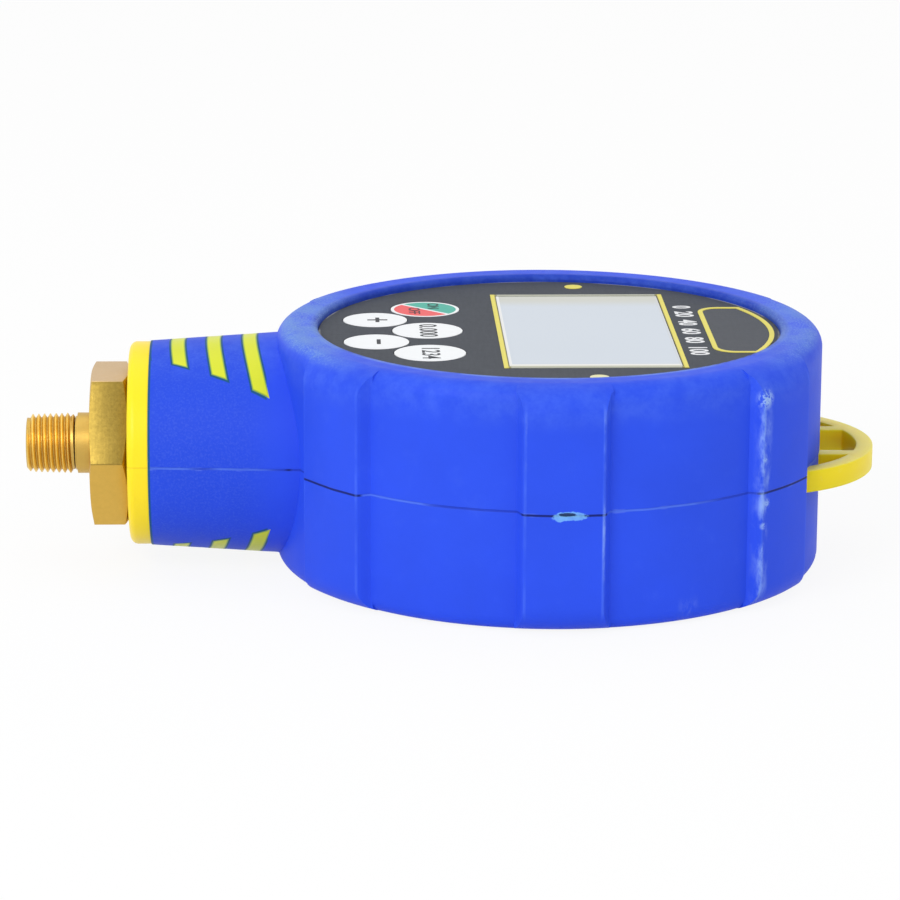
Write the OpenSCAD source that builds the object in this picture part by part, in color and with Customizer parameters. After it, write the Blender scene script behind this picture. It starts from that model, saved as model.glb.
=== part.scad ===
// Digital pressure gauge, lying on its back with the dial up and the stem to the left.
// The origin is the centre of the flat back. +X runs to the hanging loop, +Z out of the dial.
// The case is two hard shells that part at the stem's axis, each with a soft grip moulded over it.

/* [Case] */
// Height of the case from its back to the top of the rim
case_h = 39; // [38.4:0.2:43]
// Height of the parting plane, which holds the stem's axis
seam_z = 19.2; // [19:0.1:20]
// Radius of the soft grip between its pads
grip_r = 44.4; // [43.9:0.1:48]
// Thickness of the soft grip on the side of the case
grip_t = 2.2; // [1.8:0.1:2.5]
// Thickness of the hard shells' side walls
shell_t = 2.4; // [2:0.1:2.6]
// Thickness of the front shell's face under the dial
face_t = 2.4; // [2:0.1:2.8]
// Thickness of the rear shell's flat back
back_t = 2.2; // [2:0.1:2.6]
// Width of the ring of soft grip round the bare hard back
foot_w = 5.4; // [4.4:0.2:6]
// Rounding between the back and the side of the soft grip
foot_round = 2.3; // [2:0.1:3.4]

/* [Grip pads] */
// How far a pad stands out from the grip
pad_h = 1.9; // [1:0.1:2.6]
// Angle from the loop to the side pads, and from the neck to their twins, in degrees
side_pad_angle = 38.6; // [37:0.2:44]
// Angle that a side pad covers at its crest, in degrees
side_pad_span = 16; // [12:0.2:20]
// Angle that a middle pad covers at its crest, in degrees
middle_pad_span = 15; // [12:0.5:22]
// Angle over which a pad's flank falls to the grip, in degrees
pad_flank = 2.2; // [1:0.1:4]

/* [Rim and dial] */
// Width of the rim from the dial's edge to the side of the grip
rim_w = 6.8; // [6.4:0.1:7.4]
// Rounding between the rim and the side of the grip
rim_round = 2.8; // [2.4:0.1:4]
// Depth of the dial below the top of the rim
dial_drop = 1.2; // [0.8:0.1:2]
// Rounding of the rim's inner edge
lip_round = 0.8; // [0.3:0.1:1]
// Thickness of the printed overlay sheet
overlay_t = 0.5; // [0.3:0.1:0.8]
// Width of the lines printed on the overlay
line_w = 0.8; // [0.5:0.1:1.4]

/* [Display] */
// Distance from the display window's far corners to the dial's edge
window_margin = 5; // [4.6:0.1:8]
// Distance from the large keys to the window
window_gap = 6.4; // [5.4:0.1:9]
// Distance from the window to the name field
badge_gap = 5.8; // [5:0.1:9]
// Depth of the name field, from its straight side to its round side
badge_depth = 11.1; // [9:0.1:12]
// Half the width of the name field
badge_half = 16.6; // [12:0.1:20]
// Thickness of the clear display window
window_t = 1.5; // [1:0.1:1.8]

/* [Keys] */
// Radius of the three large keys
key_r = 5.7; // [4.5:0.1:5.9]
// Radius of the two small keys
small_key_r = 5.25; // [4:0.05:5.4]
// Distance between neighbouring keys of one row
key_pitch = 16; // [14:0.1:18]
// Width of the overlay between the small keys and the dial's edge
key_margin = 3.05; // [2.5:0.05:5]
// Width of the overlay between a small key and its large neighbours
key_web = 0.65; // [0.5:0.05:2]
// How far a key can be pressed
key_travel = 0.3; // [0.2:0.05:0.35]

/* [Neck] */
// Distance from the case's centre to the collar's inner end
collar_end = 64.8; // [62:0.1:70]
// Length of the collar at the neck's end
collar_len = 3.4; // [3:0.1:4]
// Thickness of the hard shells round the stem at the neck's thin end
neck_wall_t = 2.7; // [2.5:0.1:3]
// How much the neck's radius grows from the collar to the case
neck_taper = 1.3; // [0.8:0.1:1.4]
// Thickness of the soft grip on the neck
neck_grip_t = 1.5; // [1:0.1:1.8]
// Rounding of the collar's outer edge
collar_round = 1.2; // [0.5:0.1:1.5]
// Width of one stripe that shows through the neck's grip
stripe_w = 2.3; // [1.5:0.1:3]
// Distance from the collar to the middle of the first stripe
stripe_inset = 4.5; // [3:0.1:6]
// Distance from one stripe to the next
stripe_pitch = 5.8; // [5:0.1:6.4]
// Half the width of the striped field at the outer stripe
stripe_tip_half = 7.2; // [5:0.1:9]
// Half the width of the striped field at the case
stripe_root_half = 14.6; // [10:0.2:15.4]

/* [Stem] */
// Distance across the flats of the hexagon
hex_af = 24; // [23.4:0.1:26]
// Length of the hexagon
hex_len = 6.05; // [5.5:0.05:9]
// Outer radius of the male thread
thread_r = 4.95; // [4.7:0.05:5.3]
// Length of the male thread
thread_len = 7.75; // [6:0.05:12]
// Length of the plain shank between the thread and the hexagon
shank_len = 2.9; // [1.5:0.1:4]
// Radius of the pressure port through the thread
port_r = 1.9; // [1.2:0.1:2.4]

/* [Hanging loop] */
// How far the loop stands out from the grip
loop_out = 8.9; // [8.2:0.1:11]
// Outer radius of the loop's bow
loop_r = 22; // [21.6:0.1:23]
// Width of the loop's bow
loop_wall = 2.7; // [2:0.1:3]
// Height of the loop below the parting plane
loop_t = 3.6; // [3:0.1:4.5]
// Width of the hanging slot
slot_w = 13.6; // [11:0.2:15]
// Thickness of the bars beside the slot
bar_t = 2.4; // [1.4:0.1:2.6]

/* [Hidden] */
$fn = 96;

// One overrun serves every cut that passes a face
over = 1;
reach = 2 * grip_r + collar_end;

// Clearances and parting gaps that several pieces share
fit_gap = 0.1;
screw_clear = 0.1;

// Radii and levels of the case
pad_r = grip_r + pad_h;
shell_r = grip_r - grip_t;
cavity_r = shell_r - shell_t;
back_r = grip_r - foot_w;
dial_r = grip_r - rim_w;
overlay_top = case_h - dial_drop;
shell_top = overlay_top - overlay_t;
cavity_top = shell_top - face_t;
grip_back_t = 2;
shell_round = 1.2;
cavity_floor_round = 2.5;
cavity_top_round = 1;
pad_sink = 0.15;
pad_steps = 6;
pad_inset = 0.06;

// Marks on the dial, set in from its edge
badge_edge = 1;
badge_round = 3.7;
badge_r = dial_r - badge_edge;
badge_x = badge_r - badge_depth;
dot_r = 1.5;
dot_margin = 4.5;
dot_y = dial_r - dot_margin;
print_t = 0.1;

// Rows of keys: the small ones keep off the dial's edge and nest between the large ones
small_row_x = leg(dial_r - key_margin - small_key_r, key_pitch / 2);
key_row_x = small_row_x - leg(key_r + small_key_r + key_web, key_pitch / 2);

// Display window, between the large keys and the name field
window_low_x = key_r + window_gap - key_row_x;
window_high_x = badge_x - badge_gap;
window_x = window_high_x - window_low_x;
window_at_x = (window_low_x + window_high_x) / 2;
window_y = 2 * leg(dial_r - window_margin, window_high_x);

// Stem, along its axis
hex_gap = 0.15;
collar_x = -collar_end - collar_len;
hex_end = collar_x - hex_gap;
hex_start = hex_end - hex_len;
thread_end = hex_start - shank_len;
stem_tip = thread_end - thread_len;
hex_chamfer = 0.42;
hex_back_chamfer = 0.7;
tip_chamfer = 0.7;
relief_len = 0.5;
relief_depth = 0.55;
shoulder_r = 11.6;
stem_clear = 0.3;
seat_depth = 2.8;
web_x = collar_x + seat_depth;
web_t = 2.8;
web_clear = 0.1;
stem_groove_r = 9.6;
flange_r = 12.2;
flange_len = 3.3;
flat_half = 10.8;
body_r = 11.2;
body_rim = 1.5;
sensor_bore_r = 9.6;
chamber_r = 3;
chamber_len = 5;
sensor_floor = web_x + web_t + chamber_len;
seal_tube = 0.7;
seal_depth = 1.2;
seal_groove_r = shoulder_r - seal_depth;
seal_groove_w = 1.6;
seal_inset = 1.3;
seal_x = collar_x + seal_inset;

// Pressure sensor inside the stem
sensor_gap = 0.15;
capsule_r = sensor_bore_r - sensor_gap;
capsule_len = 6;
capsule_step = 1.4;
capsule_back = sensor_floor + capsule_len;
face_seal_r = 7;
face_seal_tube = 0.8;
ring_len = 2.6;
ring_bore = 6.4;
ring_slot = 1.6;
body_end = capsule_back + ring_len + body_rim;
flange_end = web_x + web_t + flange_len + web_clear;
pin_r = 0.3;
pin_circle = 3;
pin_count = 3;

// Neck, round the stem's axis
neck_bore_r = flange_r + stem_clear;
neck_tip_r = neck_bore_r + neck_wall_t + neck_grip_t;
neck_root_r = neck_tip_r + neck_taper;
neck_lap = 0.3;
neck_root_x = -grip_r - neck_lap;
neck_slope = neck_taper / (neck_root_x + collar_end);
neck_in = collar_end - cavity_r + 2 * over;
collar_step = 0.15;
collar_r = neck_tip_r - collar_step;
stripe_count = 3;
stripe_first_r = collar_end - stripe_inset;

// Screws that join the shells, inside the bare back
head_r = 2.8;
head_h = 2.2;
head_z = 7.8;
head_clear = 0.2;
head_margin = 0.4;
boss_r = 3.2;
boss_at = back_r - head_r - head_clear - head_margin;
boss_angles = [12, 135, -135, -12];
case_shank_r = 1.5;
case_bite = 8.8;
cross_w = 0.8;
cross_len_share = 0.7;
rib_t = 1.6;

// Hanging loop and its root, held between the shells
loop_c = grip_r + loop_out - loop_r;
loop_z = seam_z - loop_t;
loop_fit = 0.1;
root_tongue = 1.9;
root_in = cavity_r - root_tongue;
root_drop = 3;
root_clear = 0.2;
root_spread = 1.5;
leg_angle = acos((shell_r * shell_r + loop_c * loop_c - loop_r * loop_r) / (2 * shell_r * loop_c));
root_half_angle = leg_angle + root_spread;

// Locating lip, from beside the loop's root to beside the neck
lip_h = 1.8;
lip_t = 0.7;
lip_clear = 0.2;
lip_root_h = 1.4;
lip_spread = 4;
lip_from = root_half_angle + lip_spread;
lip_to = 180 - asin(neck_root_r / cavity_r) - lip_spread;

// Circuit board and what stands on it
board_margin = 3.2;
board_r = cavity_r - board_margin;
board_t = 1.6;
board_gap = 0.5;
switch_h = 3.3;
switch_w = 6;
button_h = 0.5;
button_r = 1.7;
lcd_gap = 0.1;
lcd_glass_t = 2.2;
strip_h = 3.4;
strip_w = 2.2;
board_top = cavity_top - lcd_gap - lcd_glass_t - strip_h;
board_z = board_top - board_t;
glass_rim = 1.3;
glass_end = 1.5;
glass_x = window_x + 2 * glass_rim;
glass_y = window_y + 2 * glass_end;
ledge = 1.2;
frame_wall = 1.1;
backlight_t = 2;
backlight_x = glass_x - 2 * strip_w - 2 * frame_wall;
standoff_r = 2.4;
standoff_gap = 1.5;
standoff_margin = 5;
standoff_off = glass_x / 2 + frame_wall + standoff_gap + standoff_r;
standoffs = [
    for (x = [window_at_x + standoff_off, window_at_x - standoff_off], s = [-1, 1])
        [x, s * leg(board_r - standoff_margin, x)]
];
board_screw_r = 0.8;
board_screw_len = 6;
board_head_r = 1.7;
board_head_h = 1.1;

// Packages under the board, as place and size in shares of its radius
chip_t = 1.4;
chip_shares = [
    [0, -0.33, 0.27, 0.27],
    [-0.16, 0.33, 0.19, 0.14],
    [0.52, 0.54, 0.14, 0.11],
    [0.44, -0.49, 0.16, 0.22]
];

// Ribbon from the sensor to the board
socket_inset = 8.6;
socket_x = socket_inset - board_r;
socket_w = 6;
socket_h = 2.6;
socket_y = 9;
socket_mid = board_z - socket_h / 2;
ribbon_t = 0.4;
ribbon_w = 6;
ribbon_x = capsule_back + ring_len + fit_gap;

// Keys
key_seat = 0.1;
key_t = overlay_t + key_seat;
key_gap = 0.15;
plunger_r = 1.5;
plunger_gap = 0.3;
stop_gap = 0.05;
plunger_z = board_top + switch_h + button_h + key_travel + stop_gap;

// Battery compartment in the rear shell, kept off the side wall and the screw bosses
cell_r = 5.25;
cell_len = 44.5;
cell_nub_r = 1.9;
cell_nub_h = 0.8;
cell_web = 0.3;
cell_pitch = 2 * cell_r + cell_web;
cell_gap = 0.4;
cell_side_gap = 0.24;
spring_len = 2.95;
comp_wall = 1.5;
comp_margin = 0.7;
comp_boss_gap = 0.2;
comp_half_y = cell_len / 2 + spring_len;
comp_half_x = cell_pitch / 2 + cell_r + cell_side_gap;
comp_wall_x = leg(cavity_r - comp_margin, comp_half_y);
comp_boss_x = boss_at * cos(boss_angles[0]) - boss_r - comp_boss_gap - comp_wall;
cells_x = min(comp_wall_x, comp_boss_x) - comp_half_x;
contact_t = 0.4;
contact_w = 7;
contact_bulge = spring_len - fit_gap;
tail_h = 5;
lead_r = 0.6;
tail_w = 4 * lead_r;
tail_y = comp_half_y - contact_t - fit_gap;

// Battery door, with an ear for a screw at each end
door_t = 1.8;
door_sink = 0.2;
door_gap = 0.2;
door_ledge = 1.1;
door_seat = 0.95;
door_half_x = comp_half_x;
door_half_y = comp_half_y - door_seat;
door_round = 2;
ear_r = 3.2;
ear_margin = 0.96;
ear_y = leg(back_r - ear_r - ear_margin, cells_x);
door_boss_h = 7;
door_shank_r = 1;
door_head_r = 1.9;
door_head_h = 1;
door_screw_len = 6;
cell_z = back_t + door_sink + cell_r + cell_gap;
comp_top = cell_z + cell_r + cell_gap;
tail_top = comp_top + comp_wall + tail_h;

function leg(hypotenuse, other) = sqrt(hypotenuse * hypotenuse - other * other);
function neck_r(x) = neck_tip_r + (x + collar_end) * neck_slope;
function polar(r, a) = [r * cos(a), r * sin(a)];
function ease(t) = t * t * (3 - 2 * t);
function flank_r(t) = pad_r - (pad_h + pad_sink) * ease(t);

// Helpers that place and cut
module on_axis(x) {
    translate([x, 0, seam_z])
        rotate([0, 90, 0])
            children();
}

module upper_half() {
    translate([-reach, -reach, seam_z])
        cube([2 * reach, 2 * reach, reach]);
}

module lower_half() {
    translate([-reach, -reach, seam_z - reach])
        cube([2 * reach, 2 * reach, reach]);
}

module sector(half_angle) {
    polygon([[0, 0], polar(reach, -half_angle), polar(reach, half_angle)]);
}

module centred_box(x, y, z) {
    translate([-x / 2, -y / 2, 0])
        cube([x, y, z]);
}

module rounded_plate(half_x, half_y, r, h) {
    linear_extrude(h)
        union() {
            square([2 * (half_x - r), 2 * half_y], center = true);
            square([2 * half_x, 2 * (half_y - r)], center = true);
            for (sx = [-1, 1], sy = [-1, 1])
                translate([sx * (half_x - r), sy * (half_y - r)])
                    circle(r);
        }
}

// A round drum whose low and top edges are rounded
module drum(r, h, low, top) {
    rotate_extrude()
        union() {
            translate([0, low])
                square([r, h - low - top]);
            square([r - low, low + over]);
            translate([0, h - top - over])
                square([r - top, top + over]);
            translate([r - low, low])
                circle(low);
            translate([r - top, h - top])
                circle(top);
        }
}

// Grip pads: each is a sector with eased flanks, kept inside a larger drum
module pad_plan(angle, span) {
    half = span / 2;
    foot = half + pad_flank;
    rotate(angle)
        polygon(concat(
            [polar(shell_r, -foot)],
            [for (i = [pad_steps:-1:0]) polar(flank_r(i / pad_steps), -half - pad_flank * i / pad_steps)],
            [polar(pad_r + over, -half), polar(pad_r + over, half)],
            [for (i = [0:pad_steps]) polar(flank_r(i / pad_steps), half + pad_flank * i / pad_steps)],
            [polar(shell_r, foot)]
        ));
}

module pads() {
    intersection() {
        translate([0, 0, pad_inset])
            drum(pad_r, case_h - 2 * pad_inset, pad_h + foot_round, pad_h + rim_round);
        linear_extrude(case_h)
            for (s = [-1, 1]) {
                pad_plan(s * side_pad_angle, side_pad_span);
                pad_plan(s * 90, middle_pad_span);
                pad_plan(s * (180 - side_pad_angle), side_pad_span);
            }
    }
}

module neck_cone(inset) {
    on_axis(-collar_end)
        cylinder(h = neck_in, r1 = neck_r(-collar_end) - inset, r2 = neck_r(neck_in - collar_end) - inset);
}

// Stripes are rings round the dial's axis, cut to a field that widens towards the case
module stripe_plan() {
    intersection() {
        for (i = [0:stripe_count - 1])
            difference() {
                circle(stripe_first_r - i * stripe_pitch + stripe_w / 2);
                circle(stripe_first_r - i * stripe_pitch - stripe_w / 2);
            }
        polygon([
            [-stripe_first_r - stripe_w, -stripe_tip_half],
            [neck_root_x, -stripe_root_half],
            [neck_root_x, stripe_root_half],
            [-stripe_first_r - stripe_w, stripe_tip_half]
        ]);
    }
}

module stripes() {
    intersection() {
        neck_cone(0);
        linear_extrude(case_h)
            stripe_plan();
    }
}

module collar() {
    on_axis(collar_x)
        rotate_extrude()
            union() {
                square([collar_r - collar_round, collar_len]);
                translate([0, collar_round])
                    square([collar_r, collar_len - collar_round]);
                translate([collar_r - collar_round, collar_round])
                    circle(collar_round);
            }
}

// Outside of the two soft grips, as one solid
module grip_form() {
    union() {
        drum(grip_r, case_h, foot_round, rim_round);
        pads();
        neck_cone(0);
    }
}

// Outside of the two hard shells, as one solid
module shell_form() {
    union() {
        cylinder(h = seam_z, r = back_r);
        translate([0, 0, grip_back_t])
            drum(shell_r, shell_top - grip_back_t, shell_round, shell_round);
        neck_cone(neck_grip_t);
        collar();
        stripes();
    }
}

// Space inside the shells: the drum-shaped cavity and the stepped seat of the stem
module shell_space() {
    union() {
        translate([0, 0, back_t])
            drum(cavity_r, cavity_top - back_t, cavity_floor_round, cavity_top_round);
        on_axis(collar_x - over)
            cylinder(h = web_x - collar_x + over, r = shoulder_r + stem_clear);
        on_axis(web_x - over)
            cylinder(h = web_t + 2 * over, r = stem_groove_r + stem_clear);
        on_axis(web_x + web_t + flange_len)
            cylinder(h = -cavity_r - web_x, r = neck_bore_r);
        intersection() {
            on_axis(web_x + web_t)
                cylinder(h = flange_len + 2 * over, r = neck_bore_r);
            on_axis(web_x + web_t)
                centred_box(2 * flat_half + 2 * web_clear, reach, flange_len + 2 * over);
        }
    }
}

// Hanging loop
module loop_legs(extra) {
    difference() {
        intersection() {
            translate([loop_c, 0])
                circle(loop_r + extra);
            union() {
                difference() {
                    translate([0, -loop_r - over])
                        square([reach, 2 * (loop_r + over)]);
                    translate([loop_c, 0])
                        circle(loop_r - loop_wall - extra);
                }
                for (s = [-1, 1])
                    translate([0, s * (slot_w + bar_t) / 2 - bar_t / 2 - extra])
                        square([reach, bar_t + 2 * extra]);
            }
        }
        circle(shell_r - extra);
    }
}

module loop_root_plan(extra) {
    intersection() {
        difference() {
            circle(shell_r + extra);
            circle(root_in);
        }
        sector(root_half_angle + asin(extra / shell_r));
    }
}

module hanging_loop() {
    color([0.96, 0.87, 0.15])
        difference() {
            union() {
                translate([0, 0, loop_z])
                    linear_extrude(loop_t)
                        union() {
                            loop_legs(0);
                            loop_root_plan(0);
                        }
                translate([0, 0, loop_z - root_drop])
                    linear_extrude(root_drop + over)
                        difference() {
                            loop_root_plan(0);
                            difference() {
                                circle(reach);
                                circle(cavity_r - root_clear);
                            }
                        }
            }
            case_bosses(loop_z - root_drop - over, seam_z + over, boss_r + root_clear);
        }
}

// Screw bosses at the places that both shells share
module case_bosses(from, to, r) {
    for (a = boss_angles)
        translate([boss_at * cos(a), boss_at * sin(a), from])
            cylinder(h = to - from, r = r);
}

module boss_ribs(from, to) {
    for (a = boss_angles)
        rotate(a)
            translate([boss_at, -rib_t / 2, from])
                cube([cavity_r - boss_at + shell_t / 2, rib_t, to - from]);
}

// Soft grips
module front_grip() {
    color([0.19, 0.33, 0.92])
        difference() {
            intersection() {
                grip_form();
                upper_half();
            }
            shell_form();
            translate([0, 0, shell_top - over])
                cylinder(h = reach, r = dial_r);
            translate([0, 0, case_h - lip_round])
                rotate_extrude()
                    difference() {
                        square([dial_r + lip_round, lip_round + over]);
                        translate([dial_r + lip_round, 0])
                            circle(lip_round);
                    }
        }
}

module rear_grip() {
    color([0.17, 0.3, 0.86])
        difference() {
            intersection() {
                grip_form();
                lower_half();
            }
            shell_form();
            translate([0, 0, loop_z - loop_fit])
                linear_extrude(reach)
                    loop_legs(loop_fit);
        }
}

// Hard shells
module key_pockets() {
    for (p = key_places()) {
        translate([p[0], p[1], shell_top - key_t])
            cylinder(h = key_t + over, r = p[2] + plunger_gap);
        translate([p[0], p[1], cavity_top - over])
            cylinder(h = face_t + 2 * over, r = plunger_r + plunger_gap);
    }
}

module locating_lip() {
    difference() {
        union() {
            translate([0, 0, seam_z - lip_h])
                cylinder(h = lip_h + over, r = cavity_r - lip_clear);
            translate([0, 0, seam_z])
                cylinder(h = lip_root_h, r = cavity_r + shell_t / 2);
        }
        translate([0, 0, seam_z - lip_h - over])
            cylinder(h = lip_h + lip_root_h + 2 * over, r = cavity_r - lip_clear - lip_t);
        translate([0, 0, seam_z - lip_h - over])
            linear_extrude(lip_h + lip_root_h + 2 * over) {
                sector(lip_from);
                rotate(180)
                    sector(180 - lip_to);
            }
    }
}

module window_cut(x, y, from, to) {
    translate([window_at_x, 0, from])
        centred_box(x, y, to - from);
}

module front_shell() {
    color([0.97, 0.88, 0.2])
        difference() {
            union() {
                difference() {
                    intersection() {
                        shell_form();
                        upper_half();
                    }
                    shell_space();
                }
                case_bosses(seam_z, cavity_top + over, boss_r);
                boss_ribs(seam_z + lip_root_h, cavity_top + over);
                for (p = standoffs)
                    translate([p[0], p[1], board_top])
                        cylinder(h = cavity_top - board_top + over, r = standoff_r);
                locating_lip();
            }
            case_bosses(seam_z - over, seam_z + case_bite + over, case_shank_r + screw_clear);
            for (p = standoffs)
                translate([p[0], p[1], board_top - over])
                    cylinder(h = over + board_screw_len - board_t, r = board_screw_r + screw_clear);
            key_pockets();
            window_cut(window_x, window_y, overlay_top - window_t, shell_top + over);
            window_cut(window_x - 2 * ledge, window_y - 2 * ledge, cavity_top - over, shell_top + over);
        }
}

module compartment(grow, from, to) {
    translate([cells_x, 0, from])
        centred_box(2 * (comp_half_x + grow), 2 * (comp_half_y + grow), to - from);
}

module door_plan_solid(gap, h) {
    union() {
        translate([cells_x, 0, 0])
            rounded_plate(door_half_x + gap, door_half_y + gap, door_round + gap, h);
        for (s = [-1, 1]) {
            translate([cells_x, s * ear_y, 0])
                cylinder(h = h, r = ear_r + gap);
            translate([cells_x, s * (ear_y + door_half_y - ear_r) / 2, 0])
                centred_box(2 * (ear_r + gap), ear_y - door_half_y + ear_r, h);
        }
    }
}

module door_bosses(r, from, to) {
    for (s = [-1, 1])
        translate([cells_x, s * ear_y, from])
            cylinder(h = to - from, r = r);
}

module rear_shell() {
    color([0.97, 0.88, 0.2])
        difference() {
            union() {
                difference() {
                    intersection() {
                        shell_form();
                        lower_half();
                    }
                    shell_space();
                }
                case_bosses(0, seam_z, boss_r);
                boss_ribs(grip_back_t, loop_z - root_drop - root_clear);
                intersection() {
                    compartment(comp_wall, grip_back_t, comp_top + comp_wall);
                    cylinder(h = reach, r = cavity_r + shell_t / 2);
                }
                door_bosses(ear_r, back_t / 2, back_t + door_boss_h);
            }
            compartment(0, back_t + door_sink, comp_top);
            door_opening();
            translate([0, 0, -over])
                door_plan_solid(door_gap, over + door_sink + door_t);
            door_bosses(door_shank_r + screw_clear + fit_gap, -over, back_t + door_boss_h - door_t);
            case_bosses(-over, head_z + head_h, head_r + head_clear);
            case_bosses(-over, seam_z + over, case_shank_r + 2 * screw_clear);
            contact_slots();
            translate([0, 0, loop_z - loop_fit])
                linear_extrude(reach)
                    loop_root_plan(loop_fit);
        }
}

module door_opening() {
    translate([cells_x, 0, -over])
        rounded_plate(
            door_half_x - door_ledge,
            door_half_y - door_ledge,
            door_round,
            back_t + 2 * over
        );
}

// Slots in the compartment's roof for the contacts' tails
module contact_slots() {
    for (s = [-1, 1])
        translate([cells_x + s * cell_pitch / 2, tail_y + contact_t / 2, comp_top - over])
            centred_box(tail_w + 2 * fit_gap, contact_t + 2 * fit_gap, comp_wall + 2 * over);
}

// Printed overlay, its marks and the clear window
module face_overlay() {
    color([0.29, 0.3, 0.33])
        difference() {
            translate([0, 0, shell_top])
                cylinder(h = overlay_t, r = dial_r - fit_gap);
            for (p = key_places())
                translate([p[0], p[1], shell_top - over])
                    cylinder(h = overlay_t + 2 * over, r = p[2] + key_gap);
            window_cut(window_x, window_y, shell_top - over, overlay_top + over);
        }
}

// Name field: a strip with two round corners, cut off by an arc along the dial's edge
module badge_plan(inset) {
    intersection() {
        circle(badge_r - inset);
        union() {
            translate([badge_x + inset, badge_round - badge_half])
                square([badge_depth, 2 * (badge_half - badge_round)]);
            translate([badge_x + badge_round, inset - badge_half])
                square([badge_depth, 2 * (badge_half - inset)]);
            for (s = [-1, 1])
                translate([badge_x + badge_round, s * (badge_half - badge_round)])
                    circle(badge_round - inset);
        }
    }
}

module overlay_print() {
    color([0.9, 0.82, 0.43])
        translate([0, 0, overlay_top])
            linear_extrude(print_t) {
                translate([window_at_x, 0])
                    difference() {
                        square([window_x + 2 * line_w, window_y + 2 * line_w], center = true);
                        square([window_x, window_y], center = true);
                    }
                difference() {
                    badge_plan(0);
                    badge_plan(line_w);
                }
                for (s = [-1, 1])
                    translate([window_at_x, s * dot_y])
                        circle(dot_r);
            }
}

module display_window() {
    color([0.8, 0.86, 0.9, 0.5])
        window_cut(window_x - 2 * fit_gap, window_y - 2 * fit_gap, overlay_top - window_t, overlay_top);
}

// Keys: a printed disc in the overlay with its plunger below
function key_places() = [
    [-key_row_x, key_pitch, key_r],
    [-key_row_x, 0, key_r],
    [-key_row_x, -key_pitch, key_r],
    [-small_row_x, key_pitch / 2, small_key_r],
    [-small_row_x, -key_pitch / 2, small_key_r]
];

module key(i) {
    p = key_places()[i];
    translate([p[0], p[1], overlay_top - key_t])
        cylinder(h = key_t, r = p[2]);
    translate([p[0], p[1], plunger_z])
        cylinder(h = overlay_top - key_t / 2 - plunger_z, r = plunger_r);
}

module key_power() {
    color([0.85, 0.35, 0.35])
        key(0);
}

module key_zero() {
    color([0.94, 0.95, 0.96])
        key(1);
}

module key_unit() {
    color([0.94, 0.95, 0.96])
        key(2);
}

module key_up() {
    color([0.94, 0.95, 0.96])
        key(3);
}

module key_down() {
    color([0.94, 0.95, 0.96])
        key(4);
}

module tact_switches() {
    color([0.15, 0.15, 0.16])
        for (p = key_places())
            translate([p[0], p[1], board_top]) {
                centred_box(switch_w, switch_w, switch_h);
                cylinder(h = switch_h + button_h, r = button_r);
            }
}

// Display stack, from the glass down to the board
module lcd_frame() {
    color([0.12, 0.12, 0.13])
        difference() {
            window_cut(glass_x + 2 * frame_wall, glass_y + 2 * frame_wall, board_top, cavity_top);
            window_cut(glass_x + 2 * fit_gap, glass_y + 2 * fit_gap, board_top - over, cavity_top + over);
        }
}

module lcd_glass() {
    color([0.8, 0.84, 0.88])
        window_cut(glass_x, glass_y, board_top + strip_h, board_top + strip_h + lcd_glass_t);
}

module backlight_panel() {
    color([0.93, 0.95, 0.97])
        translate([window_at_x, 0, board_top + strip_h - backlight_t])
            centred_box(backlight_x, glass_y - frame_wall, backlight_t);
}

module contact_strips() {
    color([0.3, 0.3, 0.33])
        for (s = [-1, 1])
            translate([window_at_x + s * (glass_x - strip_w - fit_gap) / 2, 0, board_top])
                centred_box(strip_w, glass_y - frame_wall, strip_h);
}

module main_board() {
    color([0.1, 0.4, 0.22])
        difference() {
            translate([0, 0, board_z])
                cylinder(h = board_t, r = board_r);
            case_bosses(board_z - over, board_top + over, boss_r + board_gap);
            for (p = standoffs)
                translate([p[0], p[1], board_z - over])
                    cylinder(h = board_t + 2 * over, r = board_screw_r + 2 * screw_clear);
        }
}

module board_screws() {
    color("silver")
        for (p = standoffs)
            translate([p[0], p[1], board_z - board_head_h]) {
                cylinder(h = board_head_h, r = board_head_r);
                cylinder(h = board_head_h + board_screw_len - fit_gap, r = board_screw_r);
            }
}

module board_chips() {
    color([0.1, 0.1, 0.11])
        for (c = chip_shares * board_r)
            translate([c[0], c[1], board_z - chip_t])
                centred_box(c[2], c[3], chip_t);
}

module ribbon_socket() {
    color([0.9, 0.88, 0.8])
        difference() {
            translate([socket_x, 0, board_z - socket_h])
                centred_box(socket_w, socket_y, socket_h);
            translate([socket_x - socket_w / 2, 0, socket_mid - ribbon_t / 2 - fit_gap])
                centred_box(socket_w, ribbon_w + 2 * fit_gap, ribbon_t + 2 * fit_gap);
        }
}

module sensor_ribbon() {
    low_z = seam_z - pin_circle - pin_r;
    high_z = seam_z + pin_circle + pin_r;
    color([0.75, 0.5, 0.2])
        translate([0, ribbon_w / 2, 0])
            rotate([90, 0, 0])
                linear_extrude(ribbon_w)
                    polygon([
                        [ribbon_x, low_z],
                        [ribbon_x, high_z],
                        [ribbon_x + ribbon_w / 2, high_z],
                        [socket_x - ribbon_w, socket_mid + ribbon_t / 2],
                        [socket_x, socket_mid + ribbon_t / 2],
                        [socket_x, socket_mid - ribbon_t / 2],
                        [socket_x - ribbon_w + ribbon_t / 2, socket_mid - ribbon_t / 2],
                        [ribbon_x + ribbon_w / 2 + ribbon_t / 2, high_z - ribbon_t],
                        [ribbon_x + ribbon_t, high_z - ribbon_t],
                        [ribbon_x + ribbon_t, low_z]
                    ]);
}

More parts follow.
